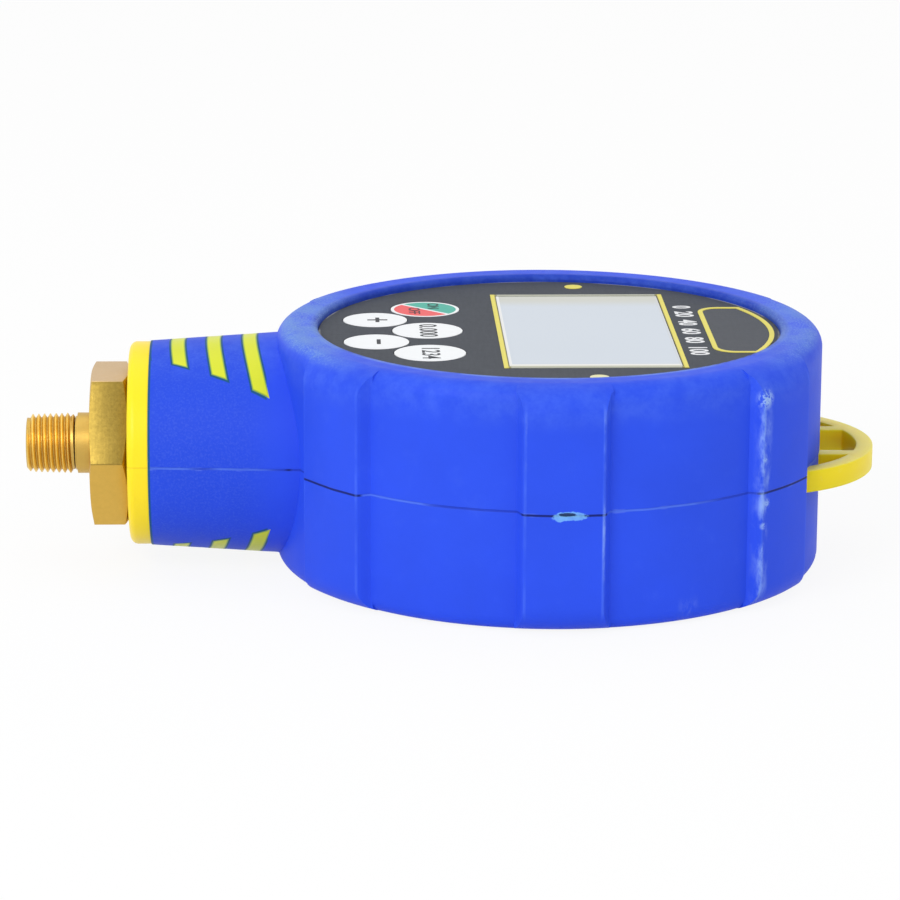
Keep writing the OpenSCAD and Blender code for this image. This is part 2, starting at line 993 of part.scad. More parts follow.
// Brass stem: thread, shank and hexagon outside, flange and sensor seat inside
module stem_hex() {
    intersection() {
        on_axis(hex_start)
            rotate(30)
                cylinder(h = hex_len, r = hex_af / sqrt(3), $fn = 6);
        on_axis(hex_start)
            rotate_extrude()
                polygon([
                    [0, 0],
                    [hex_af / 2 - hex_chamfer / 4, 0],
                    [hex_af / sqrt(3) + hex_chamfer / 4, hex_chamfer],
                    [hex_af / sqrt(3) + hex_chamfer / 4, hex_len - hex_back_chamfer],
                    [hex_af / 2, hex_len],
                    [0, hex_len]
                ]);
    }
}

module brass_stem() {
    color([0.83, 0.65, 0.32])
        difference() {
            union() {
                on_axis(stem_tip)
                    cylinder(h = tip_chamfer, r1 = thread_r - tip_chamfer, r2 = thread_r);
                on_axis(stem_tip + tip_chamfer)
                    cylinder(h = thread_len - tip_chamfer, r = thread_r);
                on_axis(thread_end - over)
                    cylinder(h = shank_len + 2 * over, r = thread_r - relief_depth);
                on_axis(thread_end + relief_len)
                    cylinder(h = shank_len - relief_len, r = thread_r);
                stem_hex();
                on_axis(hex_end - over)
                    cylinder(h = web_x - hex_end + over - web_clear, r = shoulder_r);
                on_axis(hex_end)
                    cylinder(h = body_end - hex_end, r = stem_groove_r);
                intersection() {
                    on_axis(web_x + web_t + web_clear)
                        cylinder(h = flange_len, r = flange_r);
                    on_axis(web_x + web_t)
                        centred_box(2 * flat_half, reach, flange_len + over);
                }
                on_axis(flange_end)
                    cylinder(h = body_end - flange_end, r = body_r);
            }
            on_axis(stem_tip - over)
                cylinder(h = sensor_floor - stem_tip, r = port_r);
            on_axis(web_x + web_t)
                cylinder(h = sensor_floor - web_x - web_t + over, r = chamber_r);
            on_axis(sensor_floor)
                cylinder(h = body_end - sensor_floor + over, r = sensor_bore_r);
            groove(
                sensor_floor - 2 * face_seal_tube,
                2 * face_seal_tube + over,
                face_seal_r - face_seal_tube - fit_gap,
                face_seal_r + face_seal_tube + fit_gap
            );
            groove(seal_x - seal_groove_w / 2, seal_groove_w, seal_groove_r, shoulder_r + over);
        }
}

module groove(x, w, inner, outer) {
    on_axis(x)
        difference() {
            cylinder(h = w, r = outer);
            translate([0, 0, -over])
                cylinder(h = w + 2 * over, r = inner);
        }
}

module o_ring(x, r, tube) {
    on_axis(x)
        rotate_extrude()
            translate([r, 0])
                circle(tube);
}

module stem_seal() {
    color([0.1, 0.1, 0.1])
        o_ring(seal_x, seal_groove_r + seal_tube + fit_gap / 2, seal_tube);
}

module sensor_seal() {
    color([0.1, 0.1, 0.1])
        o_ring(sensor_floor - face_seal_tube, face_seal_r, face_seal_tube);
}

module sensor_capsule() {
    color([0.75, 0.76, 0.78])
        difference() {
            on_axis(sensor_floor)
                union() {
                    cylinder(h = capsule_len - capsule_step, r = capsule_r);
                    cylinder(h = capsule_len, r = capsule_r - capsule_step);
                }
            on_axis(sensor_floor - over)
                cylinder(h = capsule_len / 2 + over, r = chamber_r);
            for (i = [1:pin_count])
                on_axis(capsule_back - capsule_step)
                    rotate(360 / pin_count * i)
                        translate([pin_circle, 0, 0])
                            cylinder(h = capsule_step + over, r = pin_r + fit_gap);
        }
}

module sensor_pins() {
    color([0.85, 0.7, 0.3])
        for (i = [1:pin_count])
            on_axis(capsule_back - capsule_step)
                rotate(360 / pin_count * i)
                    translate([pin_circle, 0, 0])
                        cylinder(h = capsule_step + ring_len, r = pin_r);
}

module sensor_ring() {
    color([0.8, 0.63, 0.3])
        on_axis(capsule_back)
            difference() {
                union() {
                    cylinder(h = ring_len, r = sensor_bore_r - sensor_gap);
                    translate([0, 0, -capsule_step])
                        cylinder(h = capsule_step + over, r = sensor_bore_r - sensor_gap);
                }
                translate([0, 0, -capsule_step - over])
                    cylinder(h = capsule_step + over, r = capsule_r - capsule_step + fit_gap);
                translate([0, 0, -capsule_step - over])
                    cylinder(h = ring_len + capsule_step + 2 * over, r = ring_bore);
                translate([-ring_slot / 2, -reach, ring_len - ring_slot])
                    cube([ring_slot, 2 * reach, ring_slot + over]);
            }
}

// Batteries and their contacts
module battery_cells() {
    color([0.55, 0.6, 0.65])
        for (s = [-1, 1])
            translate([cells_x + s * cell_pitch / 2, 0, cell_z])
                rotate([90 * s, 0, 0])
                    translate([0, 0, -cell_len / 2]) {
                        cylinder(h = cell_len - cell_nub_h, r = cell_r);
                        cylinder(h = cell_len, r = cell_nub_r);
                    }
}

// A sprung leaf: a thin plate at the wall and a bowed tongue against the cell
module contact_leaf(mid) {
    depth = contact_bulge;
    half = contact_w / 2;
    translate([mid, 0])
        polygon([
            [-half, 0],
            [-half, contact_t],
            [-half + contact_t, contact_t],
            [0, depth],
            [half - contact_t, contact_t],
            [half, contact_t],
            [half, 0],
            [half - 2 * contact_t, 0],
            [0, depth - contact_t * 1.5],
            [2 * contact_t - half, 0]
        ]);
}

module battery_contacts() {
    low_z = cell_z - contact_w / 2;
    high_z = cell_z + contact_w / 2;
    color([0.8, 0.78, 0.7]) {
        for (s = [-1, 1])
            translate([cells_x + s * cell_pitch / 2, 0, 0]) {
                translate([0, comp_half_y - fit_gap, low_z])
                    mirror([0, 1, 0])
                        linear_extrude(contact_w)
                            contact_leaf(0);
                translate([0, tail_y + contact_t / 2, high_z])
                    centred_box(tail_w, contact_t, tail_top - high_z);
                translate([0, tail_y + contact_t / 2, high_z - contact_t])
                    centred_box(contact_w, contact_t, 2 * contact_t);
            }
        translate([cells_x, fit_gap - comp_half_y, low_z])
            linear_extrude(contact_w)
                union() {
                    contact_leaf(-cell_pitch / 2);
                    contact_leaf(cell_pitch / 2);
                    translate([-cell_pitch / 2 + contact_w / 2 - contact_t, 0])
                        square([cell_pitch - contact_w + 2 * contact_t, contact_t]);
                }
    }
}

module battery_leads() {
    color("firebrick")
        for (s = [-1, 1])
            translate([cells_x + s * cell_pitch / 2, tail_y + contact_t / 2, tail_top])
                cylinder(h = board_z - tail_top, r = lead_r);
}

module battery_door() {
    color([0.95, 0.86, 0.22])
        difference() {
            translate([0, 0, door_sink])
                door_plan_solid(0, door_t);
            door_bosses(door_shank_r + screw_clear, -over, door_sink + door_t + over);
            door_bosses(door_head_r + screw_clear, -over, door_sink + door_head_h);
        }
}

module cross_recess(r, depth) {
    for (a = [0, 90])
        rotate(a)
            translate([-r * cross_len_share, -cross_w / 2, -over])
                cube([2 * r * cross_len_share, cross_w, depth + over]);
}

module door_screws() {
    color("silver")
        for (s = [-1, 1])
            translate([cells_x, s * ear_y, door_sink])
                difference() {
                    union() {
                        cylinder(h = door_head_h, r = door_head_r);
                        cylinder(h = door_screw_len, r = door_shank_r);
                    }
                    cross_recess(door_head_r, door_head_h / 2);
                }
}

module case_screws() {
    color("silver")
        for (a = boss_angles)
            translate([boss_at * cos(a), boss_at * sin(a), head_z])
                difference() {
                    union() {
                        cylinder(h = head_h, r = head_r);
                        cylinder(h = seam_z + case_bite - head_z, r = case_shank_r);
                    }
                    cross_recess(head_r, head_h / 2);
                }
}

front_grip();
rear_grip();
front_shell();
rear_shell();
hanging_loop();
face_overlay();
overlay_print();
display_window();
key_power();
key_zero();
key_unit();
key_up();
key_down();
tact_switches();
lcd_frame();
lcd_glass();
backlight_panel();
contact_strips();
main_board();
board_screws();
board_chips();
ribbon_socket();
sensor_ribbon();
brass_stem();
stem_seal();
sensor_capsule();
sensor_pins();
sensor_seal();
sensor_ring();
battery_cells();
battery_contacts();
battery_leads();
battery_door();
door_screws();
case_screws();
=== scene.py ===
"""Looks of a digital pressure gauge that lies on its back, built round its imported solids.

Lengths are in metres, in the frame that the solids share. +X runs from the stem's tip to the
hanging loop, and +Z out of the dial.
"""

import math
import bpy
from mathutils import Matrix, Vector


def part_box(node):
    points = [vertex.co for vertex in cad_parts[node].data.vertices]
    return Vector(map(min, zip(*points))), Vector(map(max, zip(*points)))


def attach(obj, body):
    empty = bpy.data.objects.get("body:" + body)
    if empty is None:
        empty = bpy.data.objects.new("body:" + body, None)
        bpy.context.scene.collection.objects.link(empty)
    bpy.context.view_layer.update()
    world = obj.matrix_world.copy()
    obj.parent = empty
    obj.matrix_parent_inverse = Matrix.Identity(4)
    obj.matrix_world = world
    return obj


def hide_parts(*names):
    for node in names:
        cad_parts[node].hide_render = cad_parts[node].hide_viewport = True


bl_info = {
    "name": "Digital pressure gauge",
    "version": (1, 0, 0),
    "blender": (4, 5, 0),
    "location": "View3D > Sidebar > Gauge",
    "description": "Dresses a digital pressure gauge and adds its thread, signs and print",
    "category": "Object",
}

import bmesh
import bpy
from bpy.props import FloatProperty, FloatVectorProperty, PointerProperty
from bpy.types import Operator, Panel, PropertyGroup
from mathutils import Matrix, Vector

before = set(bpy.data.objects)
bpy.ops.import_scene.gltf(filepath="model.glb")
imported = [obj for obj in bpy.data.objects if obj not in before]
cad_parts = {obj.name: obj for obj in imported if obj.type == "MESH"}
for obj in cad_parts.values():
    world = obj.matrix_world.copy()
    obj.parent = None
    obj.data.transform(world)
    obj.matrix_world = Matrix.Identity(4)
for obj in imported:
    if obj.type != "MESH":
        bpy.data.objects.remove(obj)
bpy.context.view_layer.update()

MM = 0.001

# Places of the solids that the looks are set against
STEM_TIP_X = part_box("brass_stem")[0].x
DIAL_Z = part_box("face_overlay")[1].z
DIAL_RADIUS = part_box("face_overlay")[1].x
WINDOW_LOW, WINDOW_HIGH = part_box("display_window")
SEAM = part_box("front_grip")[0].z
RIM_TOP = 39.0 * MM
PAD_RADIUS = 46.3 * MM
NAME_FIELD_X = WINDOW_HIGH.x + 5.9 * MM
NAME_FIELD_HALF = 16.6 * MM
NECK_END_X = -64.8 * MM
NECK_ROOT_X = -44.7 * MM
HEX_START_X = -74.4 * MM
HEX_HALF = 12.0 * MM
THREAD_END_X = -77.3 * MM
LOOP_CENTRE_X = 31.3 * MM
LOOP_INNER_RADIUS = 19.3 * MM
KEY_RIM_RADIUS = 5.15 * MM

# The neck's stripes: rings round the dial's axis between two slanting borders
STRIPE_RADIUS = 60.3 * MM
STRIPE_WIDTH = 2.3 * MM
STRIPE_PITCH = 5.8 * MM
STRIPE_TIP_HALF = 7.2 * MM
STRIPE_ROOT_HALF = 14.6 * MM

# The pipe thread: one pitch as shares of pitch and depth, the length over which its radius
# grows by one, the two chamfers, and the steps of one turn
THREAD_OUTLINE = ((0.00, 0), (0.05, 0), (0.45, 1), (0.55, 1), (0.95, 0), (1.00, 0))
THREAD_TAPER = 32.0
THREAD_TIP_RADIUS = 4.12 * MM
THREAD_TIP_SLOPE = 1.1
THREAD_END_RADIUS = 4.30 * MM
THREAD_END_SLOPE = 1.3
THREAD_STEPS = 72

# Signs: boldness by height, and the type's size by the height of its figures
FIGURE_WEIGHT = 0.034
SIGN_WEIGHT = 0.008
TYPE_SIZE = 1.42

# The photograph's camera, with its distance and target in millimetres
CAMERA_AZIMUTH = math.radians(-1.895)
CAMERA_ELEVATION = math.radians(14.536)
CAMERA_ROLL = math.radians(0.249)
CAMERA_TARGET = Vector((-16.03, 0.0, 17.71))
CAMERA_DISTANCE = 648.9
SENSOR_WIDTH = 36.0
FOCAL_PIXELS = 3957.0
PICTURE_PIXELS = 900.0

# Name, place, size and power of each lamp, and the levels of the world and the floor
LAMPS = (
    ("lamp_key", (-0.60, -0.80, 0.62), 0.70, 5.8),
    ("lamp_fill", (0.80, -0.60, 0.62), 0.70, 1.0),
    ("lamp_top", (-0.10, 0.20, 0.95), 0.90, 1.1),
)
LAMP_AIM = Vector((0.0, 0.0, 0.02))
WORLD_LEVEL = 0.72
FLOOR_HALF = 4.0
FLOOR_DROP = 0.2 * MM
FLOOR_GLOW_SHARE = 0.90

# Colours of wear, print, lines, painted highlights and painted shade that are laid over a finish
TINTS = {
    "blush": (0.12, 0.24, 0.90),
    "neck": (0.010, 0.048, 0.50),
    # Painted shade on the rim's inner wall round the dial
    "inner_wall_shade": (0.006, 0.026, 0.26),
    # Painted highlight along the lip round the dial
    "lip": (0.26, 0.42, 0.80),
    # Pale specks: grain on the neck, and a painted highlight on the rim's ends
    "specks_and_sheen": (0.24, 0.40, 0.72),
    # Painted sheen on the rim's two ends
    "rim_sheen": (0.19, 0.38, 0.60),
    # Painted highlight: a pale hazy band under the rim's top
    "shoulder": (0.15, 0.30, 0.90),
    "seam_dark": (0.004, 0.008, 0.10),
    # Painted highlight on the seam's pale stretches
    "seam_highlight": (0.15, 0.30, 0.80),
    "seam_faint": (0.008, 0.020, 0.28),
    # Painted glints just beside the seam
    "seam_glint": (0.25, 0.38, 0.90),
    # Painted highlight: the pale oval round the tear
    "tear": (0.20, 0.50, 0.88),
    "slit": (0.004, 0.012, 0.06),
    # Painted highlight along the pads' crests
    "crest": (0.10, 0.22, 0.90),
    "rub": (0.34, 0.52, 0.93),
    "chip": (0.42, 0.62, 0.90),
    "stripe_outline": (0.008, 0.085, 0.13),
    "stripe_rim": (0.06, 0.24, 0.07),
    "shell_seam": (0.55, 0.33, 0.01),
    "loop_scuff": (0.96, 0.86, 0.35),
    # Painted sheen on the loop's top face
    "loop_top_sheen": (0.80, 0.70, 0.20),
    "dial_cloud": (0.13, 0.13, 0.15),
    "name_field": (0.15, 0.155, 0.17),
    "dial_edge": (0.42, 0.43, 0.46),
    "frame_shade": (0.20, 0.18, 0.06),
    "near_dot": (0.76, 0.76, 0.56),
    "left_border": (0.76, 0.77, 0.76),
    "near_border": (0.76, 0.76, 0.71),
    "right_border": (0.55, 0.57, 0.58),
    "display_olive": (0.40, 0.38, 0.16),
    # Painted shade in the thread's roots
    "thread_root_shade": (0.24, 0.085, 0.012),
    # Painted shade on the shank
    "shank": (0.44, 0.27, 0.06),
    "track": (0.030, 0.230, 0.085),
    "solder": (0.72, 0.66, 0.48),
}

# Rub marks on the pads: degrees round the dial's axis, low and high end in millimetres, half
# the width in degrees, and strength
RUB_MARKS = (
    (-46.7, 1.5, 35.0, 1.00, 0.72),
    (-45.9, 20.0, 35.8, 2.30, 0.46),
    (-46.4, 1.5, 21.0, 2.00, 0.38),
    (-82.4, 9.0, 21.0, 0.45, 0.45),
    (-82.4, 27.0, 35.5, 0.45, 0.40),
    (-63.5, 1.6, 3.4, 2.80, 0.45),
    (-97.4, 24.0, 35.0, 0.35, 0.18),
)

# Where the pads' faces turn into their flanks, in degrees off the near and the far side
CREST_DEGREES = (7.5, 43.4, 59.4)

# Chips along the right crest: place and softness in millimetres
LARGE_CHIP = ((32.1, -33.4, 34.3), 0.4, 1.7)
SMALL_CHIPS = (
    ((32.4, -33.0, 17.4), 0.2, 0.9),
    ((31.9, -33.5, 13.9), 0.2, 0.6),
    ((32.0, -33.4, 24.8), 0.2, 0.6),
)

# Text, place from the key's centre in millimetres, and the size that sets its height
SIGNS = {
    "key_zero": (("0.000", 0.0, 0.0, "sign_height"),),
    "key_unit": (("1234", 0.0, 0.0, "sign_height"),),
    "key_up": (("+", 0.0, 0.0, "step_sign_height"),),
    "key_down": (("\u2212", 0.0, 0.0, "step_sign_height"),),
    "key_power": (
        ("ON", 1.3, 2.3, "small_sign_height"),
        ("OFF", -1.9, -1.2, "small_sign_height"),
    ),
}

# Finish and colour of the plain plastic pieces inside
INSIDE_PLASTICS = {
    "tact_switches": ("switch_black", (0.018, 0.018, 0.020, 1.0)),
    "lcd_frame": ("frame_black", (0.012, 0.012, 0.014, 1.0)),
    "lcd_glass": ("lcd_glass", (0.560, 0.620, 0.640, 1.0)),
    "backlight_panel": ("diffuser_white", (0.860, 0.880, 0.900, 1.0)),
    "contact_strips": ("strip_grey", (0.060, 0.060, 0.066, 1.0)),
    "board_chips": ("chip_black", (0.008, 0.008, 0.009, 1.0)),
    "ribbon_socket": ("socket_cream", (0.740, 0.700, 0.560, 1.0)),
    "sensor_ribbon": ("ribbon_amber", (0.480, 0.190, 0.025, 1.0)),
    "stem_seal": ("seal_black", (0.012, 0.012, 0.012, 1.0)),
    "battery_leads": ("lead_red", (0.460, 0.012, 0.012, 1.0)),
}


# Settings


def length_prop(name, text, millimetres):
    return FloatProperty(
        name=name,
        description=text,
        default=millimetres * MM,
        min=0.0,
        unit="LENGTH",
        precision=5,
    )


def colour_prop(name, text, red, green, blue):
    return FloatVectorProperty(
        name=name,
        description=text,
        default=(red, green, blue, 1.0),
        size=4,
        min=0.0,
        max=1.0,
        subtype="COLOR",
    )


class GaugeSizes(PropertyGroup):
    """Sizes of what the solids leave to the looks."""

    thread_pitch: length_prop("Thread pitch", "Distance between two crests of the thread", 0.941)
    thread_depth: length_prop("Thread depth", "Depth of the thread from crest to root", 0.62)
    thread_length: length_prop("Thread length", "Length of the threaded end", 7.75)
    thread_radius: length_prop("Thread radius", "Radius of the crests at the large end", 4.95)
    port_radius: length_prop("Port radius", "Radius of the pressure port", 1.9)
    hex_edge: length_prop("Hexagon edge", "Width of the broken edges of the hexagon", 0.16)
    loop_edge: length_prop("Loop edge", "Rounding of the hanging loop's edges", 0.16)
    seam_width: length_prop("Seam width", "Half the width of the line between the grips", 0.11)
    outline_width: length_prop("Outline width", "Width of the dark line round a stripe", 0.34)
    sign_height: length_prop("Sign height", "Height of the signs on the keys", 2.9)
    step_sign_height: length_prop("Step sign height", "Size of the plus and minus signs", 4.8)
    small_sign_height: length_prop("Small sign height", "Height of the words ON and OFF", 1.9)
    frame_line: length_prop("Frame line", "Width of the display frame's lines", 0.8)
    scale_height: length_prop("Scale height", "Height of the figures beside the display", 2.9)
    sign_thickness: length_prop("Sign thickness", "Height of the print above the face", 0.03)


class GaugeColours(PropertyGroup):
    """Colours of the gauge's finishes."""

    grip: colour_prop("Grip", "Blue of the soft grip", 0.022, 0.077, 0.750)
    shell: colour_prop("Shell", "Yellow of the hard shells", 0.960, 0.730, 0.014)
    stripe: colour_prop("Stripe", "Greenish yellow of the neck's stripes", 0.640, 0.690, 0.024)
    loop: colour_prop("Loop", "Yellow of the hanging loop", 1.000, 0.700, 0.010)
    # Painted shade: the deeper orange of the loop's inner walls
    loop_inner_shade: colour_prop("Loop inside", "Inner wall of the loop", 1.000, 0.640, 0.004)
    overlay: colour_prop("Overlay", "Dark grey of the dial", 0.062, 0.070, 0.084)
    print: colour_prop("Print", "Pale yellow of the printed frames", 0.780, 0.690, 0.130)
    print_dull: colour_prop("Dull print", "Near and far lines of the frame", 0.480, 0.490, 0.400)
    key: colour_prop("Key", "White of the keys", 0.870, 0.890, 0.910)
    key_red: colour_prop("Key red", "Red half of the upper key", 0.830, 0.100, 0.105)
    key_green: colour_prop("Key green", "Green half of the upper key", 0.055, 0.430, 0.330)
    ink: colour_prop("Ink", "Dark ink of the signs", 0.030, 0.032, 0.040)
    display: colour_prop("Display", "Pale face of the display", 0.540, 0.605, 0.690)
    display_edge: colour_prop("Display edge", "Band on the far edge", 0.520, 0.530, 0.470)
    brass: colour_prop("Brass", "Brass of the hexagon", 0.660, 0.420, 0.085)
    # Painted dark reflection on the upper front flat
    brass_front_reflection: colour_prop("Brass film", "Film on the upper front flat", 0.335, 0.232, 0.048)
    # Painted pale reflection on the top flat
    brass_top_reflection: colour_prop("Pale brass", "Top flat of the hexagon", 0.610, 0.430, 0.230)
    brass_warm: colour_prop("Warm brass", "Brass of thread and shank", 0.960, 0.640, 0.165)
    floor: colour_prop("Floor", "Plain pale floor", 0.900, 0.900, 0.900)


def colour_of(name):
    return tuple(getattr(bpy.context.scene.gauge_colours, name))


def size_of(name):
    return getattr(bpy.context.scene.gauge_sizes, name)


# Node materials


class Field:
    """A number that varies over a surface, and what nodes can work out from it."""

    def __init__(self, finish, socket):
        self.finish = finish
        self.socket = socket

    def __add__(self, other):
        return self.finish.maths("ADD", self, other)

    def __sub__(self, other):
        return self.finish.maths("SUBTRACT", self, other)

    def __rsub__(self, other):
        return self.finish.maths("SUBTRACT", other, self)

    def __mul__(self, other):
        return self.finish.maths("MULTIPLY", self, other)

    def __abs__(self):
        return self.finish.maths("ABSOLUTE", self)

    def scaled(self, factor, added):
        return self.finish.maths("MULTIPLY_ADD", self, factor, added)

    def larger(self, other):
        return self.finish.maths("MAXIMUM", self, other)

    def fade(self, start, end):
        """0 up to start and 1 from end on, or the other way round where start is larger."""
        falls = start > end
        node = self.finish.add("MapRange", Value=self)
        node.interpolation_type = "SMOOTHSTEP"
        node.inputs["From Min"].default_value = min(start, end)
        node.inputs["From Max"].default_value = max(start, end)
        node.inputs["To Min"].default_value = 1.0 if falls else 0.0
        node.inputs["To Max"].default_value = 0.0 if falls else 1.0
        return Field(self.finish, node.outputs["Result"])

    def step(self, place, start, end):
        """A fade that starts and ends so many millimetres past a place."""
        return self.fade(place + start * MM, place + end * MM)


class Finish:
    """A node material under construction, with Object coordinates as its base."""

    def __init__(self, name):
        self.material = bpy.data.materials.new(name)
        self.material.use_nodes = True
        self.tree = self.material.node_tree
        self.tree.nodes.clear()
        self.output = self.add("OutputMaterial")
        self.shader = self.add("BsdfPrincipled")
        self.feed(self.shader.outputs["BSDF"], self.output.inputs["Surface"])
        self.place = self.add("TexCoord").outputs["Object"]

    def add(self, kind, **inputs):
        """A new node with some of its inputs set."""
        node = self.tree.nodes.new("ShaderNode" + kind)
        for name, value in inputs.items():
            self.feed(value, node.inputs[name.replace("_", " ")])
        return node

    def feed(self, value, target):
        """Links an output to an input, or gives the input its value."""
        if isinstance(value, Field):
            value = value.socket
        if isinstance(value, bpy.types.NodeSocket):
            self.tree.links.new(value, target)
        else:
            target.default_value = value

    def placed(self, stretch, offset):
        """The Object coordinates, stretched or moved where asked."""
        if not (stretch or offset):
            return self.place
        mapping = self.add("Mapping", Vector=self.place)
        mapping.inputs["Scale"].default_value = stretch or (1.0, 1.0, 1.0)
        mapping.inputs["Location"].default_value = offset or (0.0, 0.0, 0.0)
        return mapping.outputs["Vector"]

    def axes(self):
        node = self.add("SeparateXYZ", Vector=self.place)
        return [Field(self, output) for output in node.outputs]

    def noise(self, scale, detail=3.0, rough=0.5, stretch=None, offset=None):
        vector = self.placed(stretch, offset)
        node = self.add("TexNoise", Vector=vector, Scale=scale, Detail=detail, Roughness=rough)
        return Field(self, node.outputs["Fac"])

    def cells(self, scale, feature="F1", stretch=None):
        node = self.add("TexVoronoi", Vector=self.placed(stretch, None), Scale=scale)
        node.feature = feature
        return Field(self, node.outputs["Distance"])

    def near(self, point, radius, soft):
        """1 inside a ball round a point, fading out over soft, all in millimetres."""
        node = self.add("VectorMath")
        node.operation = "DISTANCE"
        self.feed(self.place, node.inputs[0])
        node.inputs[1].default_value = tuple(value * MM for value in point)
        return Field(self, node.outputs["Value"]).step(0.0, radius + soft, radius)

    def maths(self, operation, first, second=0.0, third=0.0, clamp=False):
        node = self.add("Math")
        node.operation = operation
        node.use_clamp = clamp
        for value, socket in zip((first, second, third), node.inputs):
            self.feed(value, socket)
        return Field(self, node.outputs[0])

    def blend(self, share, first, second):
        node = self.add("Mix")
        node.data_type = "RGBA"
        node.clamp_factor = True
        self.feed(share, node.inputs["Factor"])
        self.feed(first, node.inputs["A"])
        self.feed(second, node.inputs["B"])
        return next(s for s in node.outputs if s.enabled and s.type == "RGBA")

    def lay(self, body, tint, share, amount=None):
        """A tint laid over a body by a share from 0 to 1, times an amount."""
        if amount is not None:
            share = share * amount
        return self.blend(share, body, (*TINTS[tint], 1.0))

    def vary(self, colour, share, amount):
        """The colour made darker and lighter by a share that runs from 0 to 1."""
        dark = tuple(max(c * (1 - amount), 0.0) for c in colour[:3]) + (1.0,)
        light = tuple(min(c * (1 + amount), 1.0) for c in colour[:3]) + (1.0,)
        return self.blend(share, dark, light)

    def bump(self, height, depth, strength):
        """A bump whose depth is in millimetres."""
        node = self.add("Bump", Distance=depth * MM, Strength=strength, Height=height)
        return node.outputs["Normal"]

    def set(self, **values):
        for name, value in values.items():
            self.feed(value, self.shader.inputs[name.replace("_", " ")])
        return self.material


def reach(across, up):
    """Length of the hypotenuse over two distances."""
    return across.finish.maths("SQRT", across * across + up * up)


def stripe_distance(x, y):
    """Distance outside the nearest neck stripe in plan, below zero inside it."""
    off_ring = reach(x, y) - STRIPE_RADIUS
    across = x.finish.maths("PINGPONG", off_ring, STRIPE_PITCH / 2) - STRIPE_WIDTH / 2
    tip_x = -STRIPE_RADIUS - STRIPE_WIDTH
    slope = (STRIPE_ROOT_HALF - STRIPE_TIP_HALF) / (NECK_ROOT_X - tip_x)
    along = abs(y) - x.scaled(slope, STRIPE_TIP_HALF - tip_x * slope)
    return across.larger(along * (1.0 / math.hypot(1.0, slope)))


def soft_grip():
    """Blue rubber: fine grain and clouds, with wear, a parting line and dark stripe outlines,
    painted highlights on the rim, the crests, the seam and the tear, and painted shade on the
    rim's inner wall.
    """
    finish = Finish("soft_grip_blue")
    x, y, z = finish.axes()
    radius = reach(x, y)
    on_neck = x.step(NECK_ROOT_X, 1.5, -6.0)
    cloud = finish.noise(60.0, 4.0, 0.55)
    grain = finish.noise(5200.0, 2.0, 0.6)
    blush = finish.noise(230.0, 5.0, 0.6)
    body = finish.vary(colour_of("grip"), cloud, 0.12)
    body = finish.lay(body, "blush", blush.fade(0.55, 0.85), 0.08)
    body = finish.lay(body, "neck", on_neck, 0.34)
    # Painted shade: the rim's inner wall round the dial made darker
    body = finish.lay(body, "inner_wall_shade", radius.step(DIAL_RADIUS, 1.8, 0.3), 0.60)

    body = rim_highlights_and_specks(finish, body, (x, y, z), radius, on_neck)
    body, line = parting_line(finish, body, (x, y, z), radius)
    body = torn_lip(finish, body, (x, y, z))
    angle = finish.maths("ARCTAN2", y, x)
    # Painted highlights along the pads' crests
    body = finish.lay(body, "crest", crest_highlights(finish, angle, z) * (1.0 - on_neck))
    rub = rub_lines(finish, angle, z)
    body = finish.lay(body, "rub", rub)
    body = crest_chips(finish, body)

    # Dark outline round the stripes and along the collar
    width = size_of("outline_width")
    outline = stripe_distance(x, y).fade(width, width * 0.6)
    outline *= x.step(NECK_ROOT_X, -0.9, -1.3)
    outline = outline.larger(x.step(NECK_END_X, 0.45, 0.22))
    body = finish.lay(body, "stripe_outline", outline, 0.88)

    height = grain * 0.35 + cloud * 0.5 - line * 1.6
    rough = blush * 0.14 + 0.44
    return finish.set(
        Base_Color=body,
        Roughness=finish.maths("ADD", rough, rub * 0.2, clamp=True),
        Normal=finish.bump(height, 0.10, 0.55),
        Specular_IOR_Level=0.14,
    )


def rim_highlights_and_specks(finish, body, axes, radius, on_neck):
    """Painted highlight on the lip round the dial, speckle and a painted sheen on the rim's two
    ends, and a painted hazy highlight on the shoulder.
    """
    x, y, z = axes
    # Painted highlight along the lip's edge round the dial, on the near side only
    lip = radius.step(DIAL_RADIUS, 2.0, 1.2) * z.step(RIM_TOP, -0.5, -0.2)
    lip *= y.step(0.0, 5.0, -20.0)
    lip *= finish.noise(140.0, 4.0, 0.6, offset=(0.2, 0.4, 0.0)).fade(0.28, 0.62)
    body = finish.lay(body, "lip", lip, 0.42)

    # Pale specks: grain on the neck, and a painted highlight on the rim's two ends
    specks_and_sheen = finish.noise(2900.0, 3.0, 0.65).fade(0.44, 0.72)
    # The rim's two ends, weighted to the left end where the light falls
    rim_ends_lit_left = abs(x).step(0.0, 30.0, 42.0) * z.step(RIM_TOP, -1.6, -0.1)
    rim_ends_lit_left *= x.step(0.0, 20.0, -20.0).scaled(0.35, 0.65)
    body = finish.lay(body, "specks_and_sheen", specks_and_sheen, on_neck * 0.07 + rim_ends_lit_left * 0.85)
    # Painted sheen on the rim's ends, stronger on the lit left end
    rim_sheen = rim_ends_lit_left * finish.noise(160.0, 4.0, 0.6).fade(0.25, 0.65)
    body = finish.lay(body, "rim_sheen", rim_sheen, 0.54)

    # Painted highlight: a pale hazy band on the shoulder under the rim's top
    shoulder = z.step(RIM_TOP, -7.5, -3.5) * z.step(RIM_TOP, 0.6, -0.1)
    shoulder *= finish.noise(330.0, 5.0, 0.7).fade(0.30, 0.74)
    return finish.lay(body, "shoulder", shoulder, 0.15)


